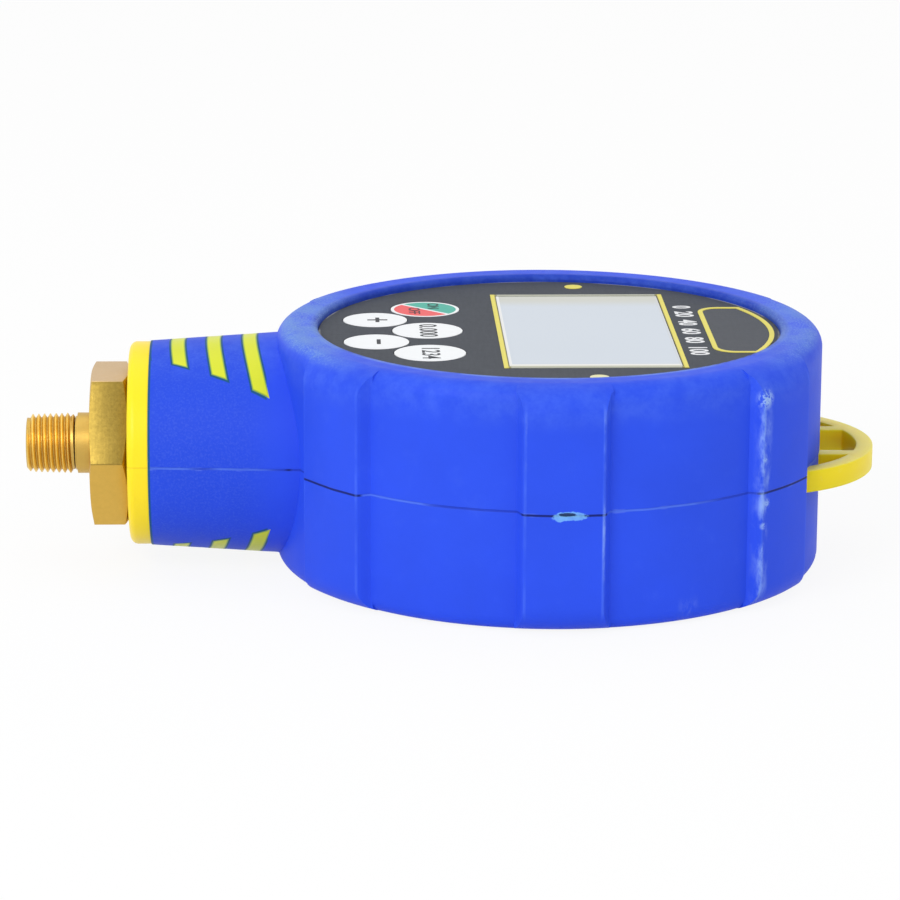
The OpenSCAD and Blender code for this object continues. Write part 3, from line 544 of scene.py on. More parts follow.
def parting_line(finish, body, axes, radius):
    """The grips' seam: dark and broken on the pads, elsewhere thin and by turns a pale painted
    highlight and faint, with painted glints just beside it.
    """
    x, _, z = axes
    wander = (finish.noise(130.0, 3.0) - 0.5) * (0.25 * MM)
    off_seam = abs(z - SEAM + wander)
    width = size_of("seam_width")
    line = off_seam.fade(width * 2.2, width * 0.9)
    on_pad = radius.step(PAD_RADIUS, -1.0, -0.3) * x.step(NECK_ROOT_X, 1.2, 2.4)
    broken = finish.noise(90.0, 2.0).fade(0.24, 0.36)
    body = finish.lay(body, "seam_dark", line * broken * on_pad, 0.90)
    off_pad = line * (1.0 - on_pad)
    # The seam's pale stretches are a painted highlight, the rest is faint
    highlit_part = finish.noise(48.0, 2.0).fade(0.46, 0.56)
    body = finish.lay(body, "seam_highlight", off_pad * highlit_part, 0.34)
    body = finish.lay(body, "seam_faint", off_pad * (1.0 - highlit_part), 0.50)
    # Painted glints just beside the seam
    seam_glint = abs(off_seam - 0.24 * MM).step(0.0, 0.14, 0.04)
    seam_glint *= finish.noise(170.0, 3.0, 0.6, offset=(0.3, 0.1, 0.2)).fade(0.54, 0.72)
    return finish.lay(body, "seam_glint", seam_glint, 0.35), line


def torn_lip(finish, body, axes):
    """The tear on the near pad, at the seam: a pale oval that is a painted highlight round the
    tear, with a dark slit.
    """
    x, y, z = axes
    front = y.step(0.0, -40.0, -42.0)
    # Painted highlight: a pale ragged oval round the tear
    tear = oval(x, z, (0.55 * MM, SEAM - 0.14 * MM), (2.8 * MM, 0.74 * MM))
    ragged = finish.noise(700.0, 4.0, 0.6).scaled(0.8, 0.30)
    body = finish.lay(body, "tear", tear * front, ragged)
    slit = oval(x, z, (0.45 * MM, SEAM + 0.20 * MM), (1.3 * MM, 0.30 * MM))
    return finish.lay(body, "slit", slit * front, 0.92)


def oval(x, z, centre, half):
    """1 inside an upright oval with a ragged border."""
    across = (x - centre[0]) * (1.0 / half[0])
    up = (z - centre[1]) * (1.0 / half[1])
    ragged = x.finish.noise(620.0, 4.0, 0.65) - 0.5
    return ragged.scaled(1.6, reach(across, up)).fade(1.05, 0.80)


def crest_highlights(finish, angle, z):
    """Painted highlights: fine patchy pale lines where the pads' faces turn into their flanks."""
    folded = abs(abs(angle) - math.radians(90.0))
    total = 0.0
    for degrees in CREST_DEGREES:
        off = abs(folded - math.radians(degrees))
        total = off.fade(math.radians(0.42), math.radians(0.10)).larger(total)
    upright = z.step(0.0, 1.5, 4.0) * z.step(RIM_TOP, -2.0, -3.5)
    patchy = finish.noise(75.0, 3.0, 0.6).fade(0.32, 0.66)
    return total * upright * (patchy * 0.32)


def rub_lines(finish, angle, z):
    """Thin upright chalky marks at the pads' crests."""
    grit = finish.noise(420.0, 5.0, 0.65, stretch=(1.0, 1.0, 0.45)).fade(0.40, 0.68)
    total = 0.0
    for degrees, low, high, width, strength in RUB_MARKS:
        off = abs(angle - math.radians(degrees))
        line = off.fade(math.radians(width), math.radians(width * 0.2))
        line *= z.step(0.0, low - 1.5, low + 1.5)
        line *= z.step(0.0, high + 1.5, high - 1.5)
        total = (line * grit * strength).larger(total)
    return total


def crest_chips(finish, body):
    """Pale chips on the right crest of the near side."""
    chip = finish.near(*LARGE_CHIP)
    for spot in SMALL_CHIPS:
        chip = chip.larger(finish.near(*spot) * 0.7)
    chip *= finish.noise(1500.0, 3.0, 0.7).fade(0.42, 0.56)
    return finish.lay(body, "chip", chip, 0.75)


def moulded(name, colour):
    """Moulded plastic: slight clouds, a fine spark-eroded grain and small changes of gloss."""
    finish = Finish(name)
    return finish.set(
        Base_Color=finish.vary(colour, finish.noise(90.0, 4.0, 0.55), 0.05),
        Roughness=finish.noise(480.0, 4.0, 0.6).scaled(0.16, 0.26),
        Normal=finish.bump(finish.noise(3000.0, 2.0, 0.55), 0.03, 0.5),
        Specular_IOR_Level=0.5,
    )


def shell_plastic():
    """Yellow shell: its stripes are greener, and a faint seam crosses the collar."""
    finish = Finish("shell_yellow")
    x, y, z = finish.axes()
    cloud = finish.noise(70.0, 4.0, 0.5)
    body = finish.vary(colour_of("shell"), cloud, 0.05)
    stripe = finish.vary(colour_of("stripe"), cloud, 0.10)
    neck = x.step(NECK_END_X, -0.1, 0.1) * x.step(NECK_ROOT_X, -0.3, -1.3)
    body = finish.blend(neck, body, stripe)
    near_border = stripe_distance(x, y).step(0.0, -0.30, -0.04)
    body = finish.lay(body, "stripe_rim", neck * near_border, 0.8)
    seam = abs(z - SEAM).step(0.0, 0.14, 0.03)
    body = finish.lay(body, "shell_seam", seam, 0.28)
    height = finish.noise(3600.0, 2.0, 0.55) - seam * 2.0
    return finish.set(
        Base_Color=body,
        Roughness=finish.noise(420.0, 4.0, 0.6).scaled(0.16, 0.26),
        Normal=finish.bump(height, 0.04, 0.5),
        Specular_IOR_Level=0.25,
    )


def loop_plastic():
    """Yellow of the loop, which lets light in, with painted shade deepening its inner walls and a
    painted sheen on its top face.
    """
    finish = Finish("loop_yellow")
    x, y, z = finish.axes()
    cloud = finish.noise(120.0, 4.0, 0.55)
    body = finish.vary(colour_of("loop"), cloud, 0.05)
    scuff = finish.noise(600.0, 5.0, 0.65).fade(0.60, 0.78)
    body = finish.lay(body, "loop_scuff", scuff, 0.20)
    # Painted shade: the inner walls below the top face in a deeper orange
    inner = reach(x - LOOP_CENTRE_X, y).step(LOOP_INNER_RADIUS, 0.10, -0.02)
    inner_shade = finish.vary(colour_of("loop_inner_shade"), cloud, 0.06)
    body = finish.blend(inner * z.step(SEAM, -0.10, -0.45), body, inner_shade)
    # Painted sheen on the loop's top face
    body = finish.lay(body, "loop_top_sheen", z.step(SEAM, -0.20, -0.02), 0.5)
    return finish.set(
        Base_Color=body,
        Roughness=cloud.scaled(0.18, 0.28),
        Normal=finish.bump(finish.noise(2600.0, 2.0, 0.5), 0.03, 0.5),
        Specular_IOR_Level=0.22,
        Subsurface_Weight=0.55,
        Subsurface_Radius=(0.006, 0.0045, 0.0004),
        Subsurface_Scale=1.0,
    )


def dial_sheet():
    """Dark grey printed sheet with a fine woven grain and a light worn edge."""
    finish = Finish("overlay_grey")
    x, y, _ = finish.axes()
    radius = reach(x, y)
    threads = finish.noise(1900.0, 2.0, 0.5, stretch=(1.0, 0.12, 1.0))
    cross = finish.noise(1900.0, 2.0, 0.5, stretch=(0.12, 1.0, 1.0))
    weave = (threads + cross) * 0.5
    fine = finish.noise(5200.0, 2.0, 0.6)
    body = finish.vary(colour_of("overlay"), weave, 0.30)
    body = finish.lay(body, "dial_cloud", finish.noise(45.0, 3.0, 0.5), 0.18)
    field = x.step(NAME_FIELD_X, 0.4, 0.6) * abs(y).step(NAME_FIELD_HALF, -0.2, -0.5)
    field *= radius.step(DIAL_RADIUS, -1.2, -1.5)
    body = finish.lay(body, "name_field", field, 0.25)
    edge = radius.step(DIAL_RADIUS, -0.45, -0.15) * finish.noise(110.0, 3.0).fade(0.42, 0.60)
    body = finish.lay(body, "dial_edge", edge, 0.6)
    return finish.set(
        Base_Color=body,
        Roughness=fine.scaled(0.18, 0.42),
        Normal=finish.bump(weave + fine * 0.5, 0.05, 0.55),
        Specular_IOR_Level=0.03,
    )


def inked(finish, body, patch):
    """Screen-printed ink of a colour, with a slightly uneven surface."""
    return finish.set(
        Base_Color=body,
        Roughness=patch.scaled(0.14, 0.38),
        Normal=finish.bump(finish.noise(4200.0, 2.0, 0.5), 0.01, 0.4),
        Specular_IOR_Level=0.12,
    )


def printed(name, colour):
    """Ink of one colour with a slightly broken cover."""
    finish = Finish(name)
    patch = finish.noise(900.0, 4.0, 0.6)
    return inked(finish, finish.vary(colour, patch, 0.07), patch)


def frame_print():
    """Yellow frames: dull near and far lines, shaded inner edges, and a paler near dot."""
    finish = Finish("print_yellow")
    x, y, _ = finish.axes()
    patch = finish.noise(900.0, 4.0, 0.6)
    body = finish.vary(colour_of("print"), patch, 0.07)
    dull = finish.vary(colour_of("print_dull"), patch, 0.07)
    line = size_of("frame_line")
    at_display = x.step(WINDOW_LOW.x, 0.0, 0.1) * x.step(WINDOW_HIGH.x, 0.0, -0.1)
    for edge, out in ((WINDOW_HIGH.y, 1.0), (WINDOW_LOW.y, -1.0)):
        inside = y.step(edge, -0.05 * out, 0.03 * out)
        outside = y.step(edge + line * out, 0.2 * out, 0.1 * out)
        body = finish.blend(inside * outside * at_display, body, dull)
    for edge in (WINDOW_LOW.x, WINDOW_HIGH.x):
        shade = abs(x - edge).step(0.0, 0.26, 0.16)
        body = finish.lay(body, "frame_shade", shade, 0.75)
    near_dot = y.step(WINDOW_LOW.y, -2.0, -3.0)
    return inked(finish, finish.lay(body, "near_dot", near_dot, 0.7), patch)


def display_face():
    """Cool grey display: beige at the far edge, pale borders and an olive line at the near one."""
    finish = Finish("display_pale")
    x, y, _ = finish.axes()
    cloud = finish.noise(30.0, 2.0, 0.5)
    body = finish.vary(colour_of("display"), cloud, 0.03)
    toward = y.step(WINDOW_HIGH.y, -9.0, -2.5)
    body = finish.blend(toward, body, colour_of("display_edge"))
    from_near = y - WINDOW_LOW.y
    left = (x - WINDOW_LOW.x).step(0.0, 0.55, 0.40)
    right = (WINDOW_HIGH.x - x).step(0.0, 0.5, 0.35)
    body = finish.lay(body, "left_border", left)
    body = finish.lay(body, "near_border", from_near.step(0.0, 1.9, 1.7))
    body = finish.lay(body, "display_olive", from_near.step(0.0, 0.75, 0.62), 0.85)
    body = finish.lay(body, "right_border", right, 0.5)
    rough = cloud.scaled(0.05, 0.10)
    return finish.set(Base_Color=body, Roughness=rough, Specular_IOR_Level=0.30)


def key_print():
    """White key with small changes of gloss."""
    finish = Finish("key_white")
    patch = finish.noise(500.0, 4.0, 0.6)
    return finish.set(
        Base_Color=finish.vary(colour_of("key"), patch, 0.03),
        Roughness=patch.scaled(0.12, 0.30),
        Normal=finish.bump(finish.noise(3800.0, 2.0, 0.5), 0.01, 0.4),
        Specular_IOR_Level=0.20,
    )


def two_coloured_key():
    """White rim, red lower half and green upper half, parted by a slanting white band."""
    finish = Finish("key_red_green")
    centre = middle("key_power")
    x, y, _ = finish.axes()
    across = x - centre.x
    up = y - centre.y
    slant = (across + up) * 0.7071
    patch = finish.noise(600.0, 4.0, 0.6)
    red = finish.vary(colour_of("key_red"), patch, 0.06)
    green = finish.vary(colour_of("key_green"), patch, 0.06)
    white = finish.vary(colour_of("key"), patch, 0.03)
    halves = finish.blend(slant.step(0.0, -0.02, 0.02), red, green)
    band = abs(slant).step(0.0, 0.30, 0.24)
    rim = reach(across, up).step(KEY_RIM_RADIUS, -0.03, 0.03)
    body = finish.blend(band.larger(rim), halves, white)
    rough = patch.scaled(0.12, 0.30)
    return finish.set(Base_Color=body, Roughness=rough, Specular_IOR_Level=0.08)


def brass_skin(finish, body, gloss):
    """Speckle, turning lines round the axis and small changes of gloss, over a brass colour."""
    speckle = finish.noise(1500.0, 5.0, 0.7)
    lines = finish.noise(900.0, 3.0, 0.6, stretch=(4.0, 0.15, 0.15))
    return finish.set(
        Base_Color=body,
        Metallic=1.0,
        Roughness=speckle.scaled(0.22, gloss),
        Normal=finish.bump(speckle * 0.5 + lines * 0.8, 0.035, 0.55),
    )


def turned_brass(name, colour):
    """Small turned parts of plain brass."""
    finish = Finish(name)
    body = finish.vary(colour, finish.noise(1500.0, 5.0, 0.7), 0.14)
    return brass_skin(finish, body, 0.20)


def stem_brass():
    """Brass of the stem: warm at thread and shank, olive on the hexagon, with a painted pale
    reflection on the top flat, a painted dark reflection on the front flat, and painted shade in
    the thread's roots and on the shank.
    """
    finish = Finish("stem_brass")
    x, y, z = finish.axes()
    speckle = finish.noise(1100.0, 5.0, 0.7)
    warm = finish.vary(colour_of("brass_warm"), speckle, 0.16)
    body = finish.vary(colour_of("brass"), speckle, 0.10)

    # Painted dark reflection on the flat that leans back by 30 degrees, and a painted pale
    # reflection on the flat on top
    front_reflection = finish.vary(colour_of("brass_front_reflection"), finish.noise(1900.0, 4.0, 0.75), 0.45)
    lean = math.radians(30.0)
    above = z - SEAM
    flat_reach = y.scaled(-math.cos(lean), above * math.sin(lean))
    body = finish.blend(flat_reach.step(HEX_HALF, -0.30, -0.10), body, front_reflection)
    # Painted pale reflection on the top flat
    pale = finish.vary(colour_of("brass_top_reflection"), finish.noise(120.0, 4.0, 0.6), 0.10)
    body = finish.blend(z.step(SEAM + HEX_HALF, -0.16, -0.04), body, pale)
    on_shank = x.step(HEX_START_X, 0.0, -0.08)
    body = finish.blend(on_shank, body, warm)

    # Painted shade in the roots between the tapered crests, and painted shade on the shank behind
    # the thread
    crest = reach(y, above) - (x - STEM_TIP_X) * (1.0 / THREAD_TAPER)
    crest_radius = size_of("thread_radius") - size_of("thread_length") / THREAD_TAPER
    depth = size_of("thread_depth")
    groove_shade = crest.fade(crest_radius - depth * 0.35, crest_radius - depth * 0.95)
    groove_shade *= x.step(THREAD_END_X, 0.05, -0.05)
    body = finish.lay(body, "thread_root_shade", groove_shade, 0.42)
    # Painted shade on the shank behind the thread
    body = finish.lay(body, "shank", x.step(THREAD_END_X, -0.1, 0.1) * on_shank, 0.62)
    return brass_skin(finish, body, 0.32)


def turned_steel(name, colour, roughness=0.3):
    """Turned or rolled steel with fine lines and patches."""
    finish = Finish(name)
    speckle = finish.noise(1700.0, 4.0, 0.6)
    return finish.set(
        Base_Color=finish.vary(colour, finish.noise(150.0, 3.0, 0.6), 0.10),
        Metallic=1.0,
        Roughness=speckle.scaled(0.18, roughness - 0.09),
        Normal=finish.bump(speckle, 0.02, 0.4),
    )


def board_lacquer():
    """Green board with copper tracks showing through its lacquer."""
    finish = Finish("board_green")
    copper = finish.cells(420.0, "DISTANCE_TO_EDGE", (1.0, 0.35, 0.0)).fade(0.10, 0.06)
    body = finish.lay((0.012, 0.130, 0.050, 1.0), "track", copper, 0.9)
    body = finish.lay(body, "solder", finish.cells(700.0).fade(0.14, 0.10), 0.8)
    normal = finish.bump(copper, 0.03, 0.5)
    return finish.set(Base_Color=body, Roughness=0.32, Normal=normal)


# Mesh helpers


def node(name):
    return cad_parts[name]


def middle(name):
    """The centre of a solid's box."""
    low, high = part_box(name)
    return (low + high) / 2


def dress(name, material):
    """Gives a solid its finish."""
    mesh = node(name).data
    mesh.materials.clear()
    mesh.materials.append(material)


def merged_copy(name):
    """A solid's mesh with its loose triangles merged."""
    bm = bmesh.new()
    bm.from_mesh(node(name).data)
    bmesh.ops.remove_doubles(bm, verts=bm.verts, dist=0.002 * MM)
    return bm


def flatten(bm):
    """Joins the triangles of each flat face."""
    bmesh.ops.dissolve_limit(
        bm,
        angle_limit=math.radians(0.5),
        use_dissolve_boundaries=False,
        verts=bm.verts,
        edges=bm.edges,
        delimit={"NORMAL"},
    )


def sharp_edges(bm, low, high):
    """Edges whose two faces meet at an angle between two limits in degrees."""
    low, high = math.radians(low), math.radians(high)
    shared = [edge for edge in bm.edges if len(edge.link_faces) == 2]
    return [edge for edge in shared if low < edge.calc_face_angle(0.0) < high]


def break_edges(bm, edges, width, segments):
    """Rounds edges, or breaks them where there are few segments."""
    bmesh.ops.bevel(
        bm,
        geom=edges,
        offset=width,
        offset_type="OFFSET",
        segments=segments,
        profile=0.5,
        affect="EDGES",
        material=-1,
        clamp_overlap=True,
    )


def cut_off(bm, x, side, tolerance):
    """Takes away what lies past x on one side of a plane square to the stem."""
    bmesh.ops.bisect_plane(
        bm,
        geom=bm.verts[:] + bm.edges[:] + bm.faces[:],
        dist=tolerance,
        plane_co=(x, 0.0, 0.0),
        plane_no=(side, 0.0, 0.0),
        clear_outer=True,
    )


def open_edges(bm, x):
    """Open edges in a plane square to the stem."""
    borders = [edge for edge in bm.edges if edge.is_boundary]
    return [e for e in borders if all(abs(v.co.x - x) < 0.002 * MM for v in e.verts)]


def show(bm, name, material, body, smooth=40.0):
    """Makes a finished bmesh into a piece that rides on a body."""
    bm.normal_update()
    mesh = bpy.data.meshes.new(name)
    limit = math.radians(smooth)
    for face in bm.faces:
        face.smooth = True
    for edge in bm.edges:
        edge.smooth = len(edge.link_faces) == 2 and edge.calc_face_angle(0.0) < limit
    bm.to_mesh(mesh)
    bm.free()
    mesh.materials.append(material)
    piece = bpy.data.objects.new(name, mesh)
    bpy.context.scene.collection.objects.link(piece)
    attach(piece, body)
    return piece


def written(text, height, weight, place, name):
    """Signs as a thin plate, read with the stem pointing down: their top towards the loop."""
    curve = bpy.data.curves.new(name, "FONT")
    curve.body = text
    curve.size = height * TYPE_SIZE
    curve.align_x = "CENTER"
    curve.align_y = "CENTER"
    curve.offset = height * weight
    curve.extrude = size_of("sign_thickness") / 2
    curve.resolution_u = 4
    sign = bpy.data.objects.new(name, curve)
    bpy.context.scene.collection.objects.link(sign)
    bpy.context.view_layer.update()
    mesh = bpy.data.meshes.new_from_object(sign)
    bpy.data.objects.remove(sign)
    bm = bmesh.new()
    bm.from_mesh(mesh)
    bpy.data.meshes.remove(mesh)
    bmesh.ops.remove_doubles(bm, verts=bm.verts, dist=0.001 * MM)
    turn = Matrix.Rotation(math.radians(-90.0), 4, "Z")
    bmesh.ops.transform(bm, matrix=Matrix.Translation(place) @ turn, verts=bm.verts)
    return bm


# Operators


class GAUGE_OT_camera(Operator):
    """Sets the camera at the photograph's viewing angle"""

    bl_idname = "gauge.camera"
    bl_label = "Camera"

    def execute(self, context):
        level = math.cos(CAMERA_ELEVATION)
        side, front = math.sin(CAMERA_AZIMUTH), math.cos(CAMERA_AZIMUTH)
        back = Vector((side * level, -front * level, math.sin(CAMERA_ELEVATION)))
        right = Vector((front, side, 0.0))
        up = back.cross(right)
        turned_right = right * math.cos(CAMERA_ROLL) + up * math.sin(CAMERA_ROLL)
        turned_up = up * math.cos(CAMERA_ROLL) - right * math.sin(CAMERA_ROLL)
        data = bpy.data.cameras.new("camera")
        data.sensor_width = SENSOR_WIDTH
        data.sensor_fit = "HORIZONTAL"
        data.lens = SENSOR_WIDTH * FOCAL_PIXELS / PICTURE_PIXELS
        data.clip_start = 0.01
        data.clip_end = 20.0
        camera = bpy.data.objects.new("camera", data)
        context.scene.collection.objects.link(camera)
        place = Matrix((turned_right, turned_up, back)).transposed().to_4x4()
        place.translation = CAMERA_TARGET * MM + back * CAMERA_DISTANCE * MM
        camera.matrix_world = place
        context.scene.camera = camera
        return {"FINISHED"}


class GAUGE_OT_stage(Operator):
    """Makes the pale floor, the world and the soft studio lights"""

    bl_idname = "gauge.stage"
    bl_label = "Stage"

    def execute(self, context):
        bm = bmesh.new()
        bmesh.ops.create_grid(bm, x_segments=2, y_segments=2, size=FLOOR_HALF)
        mesh = bpy.data.meshes.new("floor")
        bm.to_mesh(mesh)
        bm.free()
        floor = bpy.data.objects.new("floor", mesh)
        floor.location = (0.0, 0.0, -FLOOR_DROP)
        context.scene.collection.objects.link(floor)
        mesh.materials.append(self.floor_finish())
        self.sky(context)
        for lamp in LAMPS:
            self.lamp(context, *lamp)
        context.scene.view_settings.view_transform = "Standard"
        return {"FINISHED"}

    def floor_finish(self):
        """Pale floor that looks white to the camera and in reflections, and keeps the shadow."""
        finish = Finish("floor_pale")
        tint = finish.vary(colour_of("floor"), finish.noise(6.0, 2.0), 0.01)
        finish.set(Base_Color=tint, Roughness=0.9, Specular_IOR_Level=0.1)
        glow = finish.add("Emission", Color=(1.0, 1.0, 1.0, 1.0), Strength=1.0)
        path = finish.add("LightPath")
        mix = finish.add("MixShader")
        camera, glossy = path.outputs["Is Camera Ray"], path.outputs["Is Glossy Ray"]
        seen = finish.maths("MAXIMUM", camera, glossy)
        seen = seen.larger(path.outputs["Is Transmission Ray"])
        finish.feed(seen * FLOOR_GLOW_SHARE, mix.inputs["Fac"])
        finish.feed(finish.shader.outputs["BSDF"], mix.inputs[1])
        finish.feed(glow.outputs["Emission"], mix.inputs[2])
        finish.feed(mix.outputs["Shader"], finish.output.inputs["Surface"])
        return finish.material

    def sky(self, context):
        """White world, dimmer as a light than as a background."""
        world = bpy.data.worlds.new("studio")
        context.scene.world = world
        world.use_nodes = True
        tree = world.node_tree
        back = tree.nodes["Background"]
        back.inputs["Color"].default_value = (1.0, 1.0, 1.0, 1.0)
        path = tree.nodes.new("ShaderNodeLightPath")
        seen = tree.nodes.new("ShaderNodeMath")
        seen.operation = "MAXIMUM"
        tree.links.new(path.outputs["Is Camera Ray"], seen.inputs[0])
        tree.links.new(path.outputs["Is Glossy Ray"], seen.inputs[1])
        level = tree.nodes.new("ShaderNodeMapRange")
        level.inputs["To Min"].default_value = WORLD_LEVEL
        level.inputs["To Max"].default_value = 1.0
        tree.links.new(seen.outputs[0], level.inputs["Value"])
        tree.links.new(level.outputs["Result"], back.inputs["Strength"])

    def lamp(self, context, name, place, size, power):
        data = bpy.data.lights.new(name, "AREA")
        data.shape = "DISK"
        data.size = size
        data.energy = power
        lamp = bpy.data.objects.new(name, data)
        lamp.location = place
        lamp.rotation_euler = (LAMP_AIM - Vector(place)).to_track_quat("-Z", "Y").to_euler()
        context.scene.collection.objects.link(lamp)


class GAUGE_OT_grips(Operator):
    """Gives the two soft grips their rubber"""

    bl_idname = "gauge.grips"
    bl_label = "Soft grips"

    def execute(self, context):
        rubber = soft_grip()
        for name in ("front_grip", "rear_grip"):
            dress(name, rubber)
        return {"FINISHED"}


class GAUGE_OT_shells(Operator):
    """Gives the hard shells and the battery door their plastic"""

    bl_idname = "gauge.shells"
    bl_label = "Hard shells"

    def execute(self, context):
        plastic = shell_plastic()
        for name in ("front_shell", "rear_shell", "battery_door"):
            dress(name, plastic)
        return {"FINISHED"}


class GAUGE_OT_loop(Operator):
    """Rounds the hanging loop's edges and gives it its plastic"""

    bl_idname = "gauge.loop"
    bl_label = "Hanging loop"

    def execute(self, context):
        bm = merged_copy("hanging_loop")
        flatten(bm)
        break_edges(bm, sharp_edges(bm, 50.0, 120.0), size_of("loop_edge"), 3)
        piece = show(bm, "loop_rounded", loop_plastic(), "gauge")
        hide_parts("hanging_loop")
        return {"FINISHED"}


class GAUGE_OT_dial(Operator):
    """Finishes the dial's sheet, its print and the display, and prints the scale figures"""

    bl_idname = "gauge.dial"
    bl_label = "Dial"

    def execute(self, context):
        dress("face_overlay", dial_sheet())
        dress("overlay_print", frame_print())
        dress("display_window", display_face())
        white = printed("print_white", (0.80, 0.81, 0.83, 1.0))
        between = (WINDOW_HIGH.x + NAME_FIELD_X) / 2 + 0.4 * MM
        place = Vector((between, 0.0, DIAL_Z + size_of("sign_thickness") / 2))
        text = "0  20  40  60  80  100"
        bm = written(text, size_of("scale_height"), FIGURE_WEIGHT, place, "scale_figures")
        piece = show(bm, "scale_figures", white, "gauge")
        return {"FINISHED"}


class GAUGE_OT_keys(Operator):
    """Finishes the five keys and prints a plain sign on each"""

    bl_idname = "gauge.keys"
    bl_label = "Keys"

    def execute(self, context):
        white = key_print()
        ink = printed("sign_ink", colour_of("ink"))
        dress("key_power", two_coloured_key())
        for name in ("key_zero", "key_unit", "key_up", "key_down"):
            dress(name, white)
        for name, words in SIGNS.items():
            body = name.removeprefix("key_") + "_key"
            centre = middle(name)
            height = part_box(name)[1].z + size_of("sign_thickness") / 2
            for text, across, up, size in words:
                place = Vector((centre.x + across * MM, centre.y + up * MM, height))
                label = "sign_" + name
                if len(words) > 1:
                    label += "_" + text.lower()
                bm = written(text, size_of(size), SIGN_WEIGHT, place, label)
                piece = show(bm, label, ink, body)
        return {"FINISHED"}


class GAUGE_OT_stem(Operator):
    """Builds the brass stem with its pipe thread and broken hexagon edges"""

    bl_idname = "gauge.stem"
    bl_label = "Brass stem"

    def execute(self, context):
        brass = stem_brass()
        end = STEM_TIP_X + size_of("thread_length")
        stem = self.body_without_thread(end)
        thread = self.thread(STEM_TIP_X, end)
        mesh = bpy.data.meshes.new("thread_turns")
        thread.to_mesh(mesh)
        thread.free()
        stem.from_mesh(mesh)
        bpy.data.meshes.remove(mesh)
        piece = show(stem, "stem_with_thread", brass, "gauge", 32.0)
        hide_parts("brass_stem")
        return {"FINISHED"}

    def body_without_thread(self, end):
        """The solid's hexagon, shoulder and seat, cut off where the thread begins."""
        bm = merged_copy("brass_stem")
        cut_off(bm, end + 0.2 * MM, -1.0, 0.0005 * MM)
        rim = [edge for edge in bm.edges if edge.is_boundary]
        if not rim:
            raise RuntimeError("the stem wasn't cut at its thread")
        bmesh.ops.bridge_loops(bm, edges=rim)
        flatten(bm)

        def on_hexagon(edge):
            reaches = [math.hypot(v.co.y, v.co.z - SEAM) for v in edge.verts]
            return min(reaches) > HEX_HALF - 0.3 * MM

        edges = [edge for edge in sharp_edges(bm, 38.0, 85.0) if on_hexagon(edge)]
        break_edges(bm, edges, size_of("hex_edge"), 2)
        return bm

    def thread(self, tip, end):
        """One pitch of thread, spun round the stem's axis, cut square and bored through."""
        pitch = size_of("thread_pitch")
        depth = size_of("thread_depth")
        root = SEAM + size_of("thread_radius") - depth
        turns = math.ceil((end - tip) / pitch) + 3
        start = tip - 1.5 * pitch
        bm = bmesh.new()
        verts = [
            bm.verts.new((start + along * pitch, 0.0, root + out * depth))
            for along, out in THREAD_OUTLINE
        ]
        edges = [bm.edges.new(pair) for pair in zip(verts, verts[1:])]
        bmesh.ops.spin(
            bm,
            geom=verts + edges,
            cent=(0.0, 0.0, SEAM),
            axis=(1.0, 0.0, 0.0),
            dvec=(pitch / THREAD_STEPS, 0.0, 0.0),
            angle=math.tau * turns,
            steps=THREAD_STEPS * turns,
            use_merge=False,
            use_duplicate=False,
        )
        bmesh.ops.remove_doubles(bm, verts=bm.verts, dist=0.0005 * MM)
        cut_off(bm, tip, -1.0, 0.00001 * MM)
        cut_off(bm, end, 1.0, 0.00001 * MM)
        self.taper(bm, tip, end)
        self.bore(bm, tip, end)
        bmesh.ops.recalc_face_normals(bm, faces=bm.faces)
        return bm

    def taper(self, bm, tip, end):
        """Narrows the thread towards its tip and chamfers its two ends."""
        for vert in bm.verts:
            arm = Vector((vert.co.y, vert.co.z - SEAM))
            from_tip = vert.co.x - tip
            from_end = end - vert.co.x
            radius = arm.length - from_end / THREAD_TAPER
            radius = min(radius, THREAD_TIP_RADIUS + from_tip * THREAD_TIP_SLOPE)
            radius = min(radius, THREAD_END_RADIUS + from_end * THREAD_END_SLOPE)
            arm *= radius / arm.length
            vert.co.y, vert.co.z = arm.x, arm.y + SEAM

    def bore(self, bm, tip, end):
        """Bores the pressure port and closes the thread's two ends round it."""
        bores = []
        for x in (tip, end):
            place = Matrix.Translation((x, 0.0, SEAM)) @ Matrix.Rotation(math.pi / 2, 4, "Y")
            made = bmesh.ops.create_circle(
                bm,
                cap_ends=False,
                radius=size_of("port_radius"),
                segments=48,
                matrix=place,
            )
            bores += {edge for vert in made["verts"] for edge in vert.link_edges}
        bmesh.ops.bridge_loops(bm, edges=bores)
        for x in (tip, end):
            bmesh.ops.bridge_loops(bm, edges=open_edges(bm, x))


class GAUGE_OT_insides(Operator):
    """Finishes the board, the display's stack and the pressure sensor"""

    bl_idname = "gauge.insides"
    bl_label = "Inside pieces"

    def execute(self, context):
        dress("main_board", board_lacquer())
        for name, (label, colour) in INSIDE_PLASTICS.items():
            dress(name, moulded(label, colour))
        dress("sensor_seal", node("stem_seal").data.materials[0])
        dress("sensor_capsule", turned_steel("capsule_steel", (0.520, 0.530, 0.550, 1.0)))
        dress("sensor_ring", turned_brass("ring_brass", colour_of("brass")))
        dress("sensor_pins", turned_brass("pin_gold", (0.830, 0.560, 0.170, 1.0)))
        return {"FINISHED"}


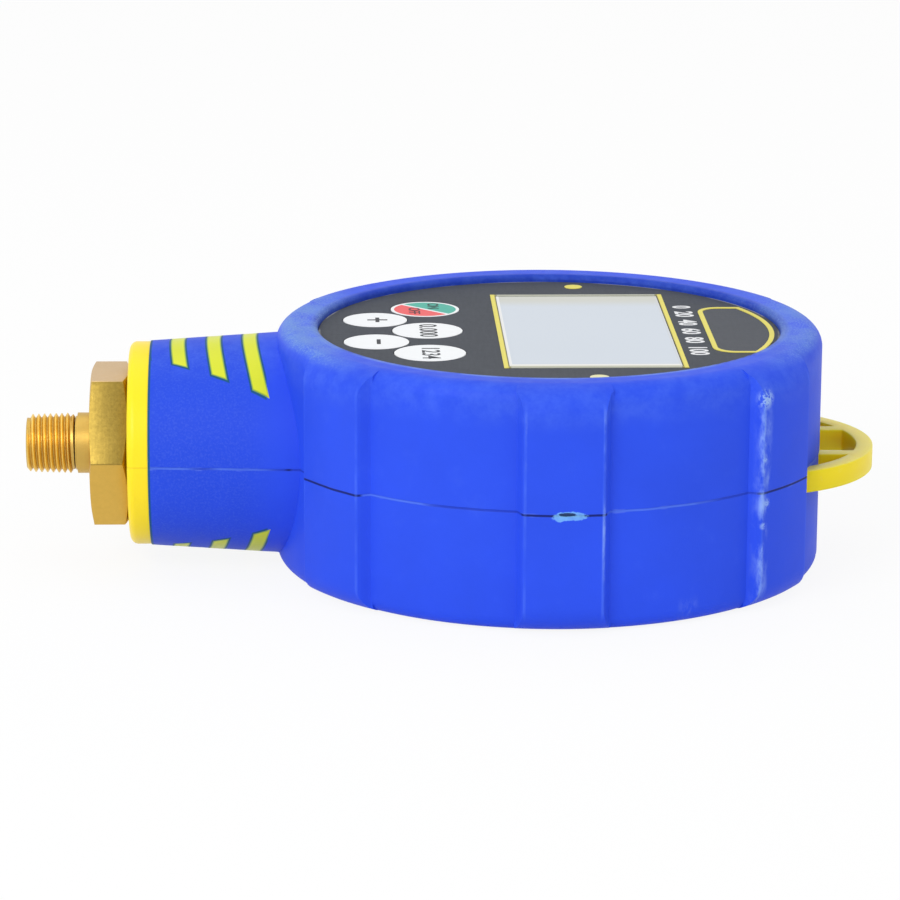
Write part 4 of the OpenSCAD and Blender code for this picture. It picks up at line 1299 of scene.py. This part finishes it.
class GAUGE_OT_supply(Operator):
    """Finishes the cells and their contacts"""

    bl_idname = "gauge.supply"
    bl_label = "Batteries"

    def execute(self, context):
        jacket = turned_steel("cell_jacket", (0.260, 0.310, 0.360, 1.0), 0.36)
        dress("battery_cells", jacket)
        spring = turned_steel("contact_spring", (0.620, 0.600, 0.520, 1.0), 0.30)
        dress("battery_contacts", spring)
        return {"FINISHED"}


class GAUGE_OT_screws(Operator):
    """Finishes the screws of the case, the board and the battery door"""

    bl_idname = "gauge.screws"
    bl_label = "Screws"

    def execute(self, context):
        steel = turned_steel("screw_steel", (0.480, 0.490, 0.510, 1.0), 0.32)
        for name in ("case_screws", "board_screws", "door_screws"):
            dress(name, steel)
        return {"FINISHED"}


class GAUGE_PT_panel(Panel):
    """Lists the gauge's sizes, colours and pieces"""

    bl_idname = "GAUGE_PT_panel"
    bl_label = "Digital pressure gauge"
    bl_space_type = "VIEW_3D"
    bl_region_type = "UI"
    bl_category = "Gauge"

    def draw(self, context):
        layout = self.layout
        scene = context.scene
        for title, group in (("Sizes", scene.gauge_sizes), ("Colours", scene.gauge_colours)):
            box = layout.box()
            box.label(text=title)
            for name in group.bl_rna.properties.keys():
                if name not in ("rna_type", "name"):
                    box.prop(group, name)
        column = layout.column(align=True)
        for operator in OPERATORS:
            column.operator(operator.bl_idname)


OPERATORS = (
    GAUGE_OT_camera,
    GAUGE_OT_stage,
    GAUGE_OT_grips,
    GAUGE_OT_shells,
    GAUGE_OT_loop,
    GAUGE_OT_dial,
    GAUGE_OT_keys,
    GAUGE_OT_stem,
    GAUGE_OT_insides,
    GAUGE_OT_supply,
    GAUGE_OT_screws,
)
CLASSES = (GaugeSizes, GaugeColours, *OPERATORS, GAUGE_PT_panel)


def register():
    for cls in CLASSES:
        bpy.utils.register_class(cls)
    bpy.types.Scene.gauge_sizes = PointerProperty(type=GaugeSizes)
    bpy.types.Scene.gauge_colours = PointerProperty(type=GaugeColours)


def unregister():
    del bpy.types.Scene.gauge_colours
    del bpy.types.Scene.gauge_sizes
    for cls in reversed(CLASSES):
        bpy.utils.unregister_class(cls)


def main():
    register()
    for operator in OPERATORS:
        area, name = operator.bl_idname.split(".")
        getattr(getattr(bpy.ops, area), name)()


if __name__ == "__main__":
    main()
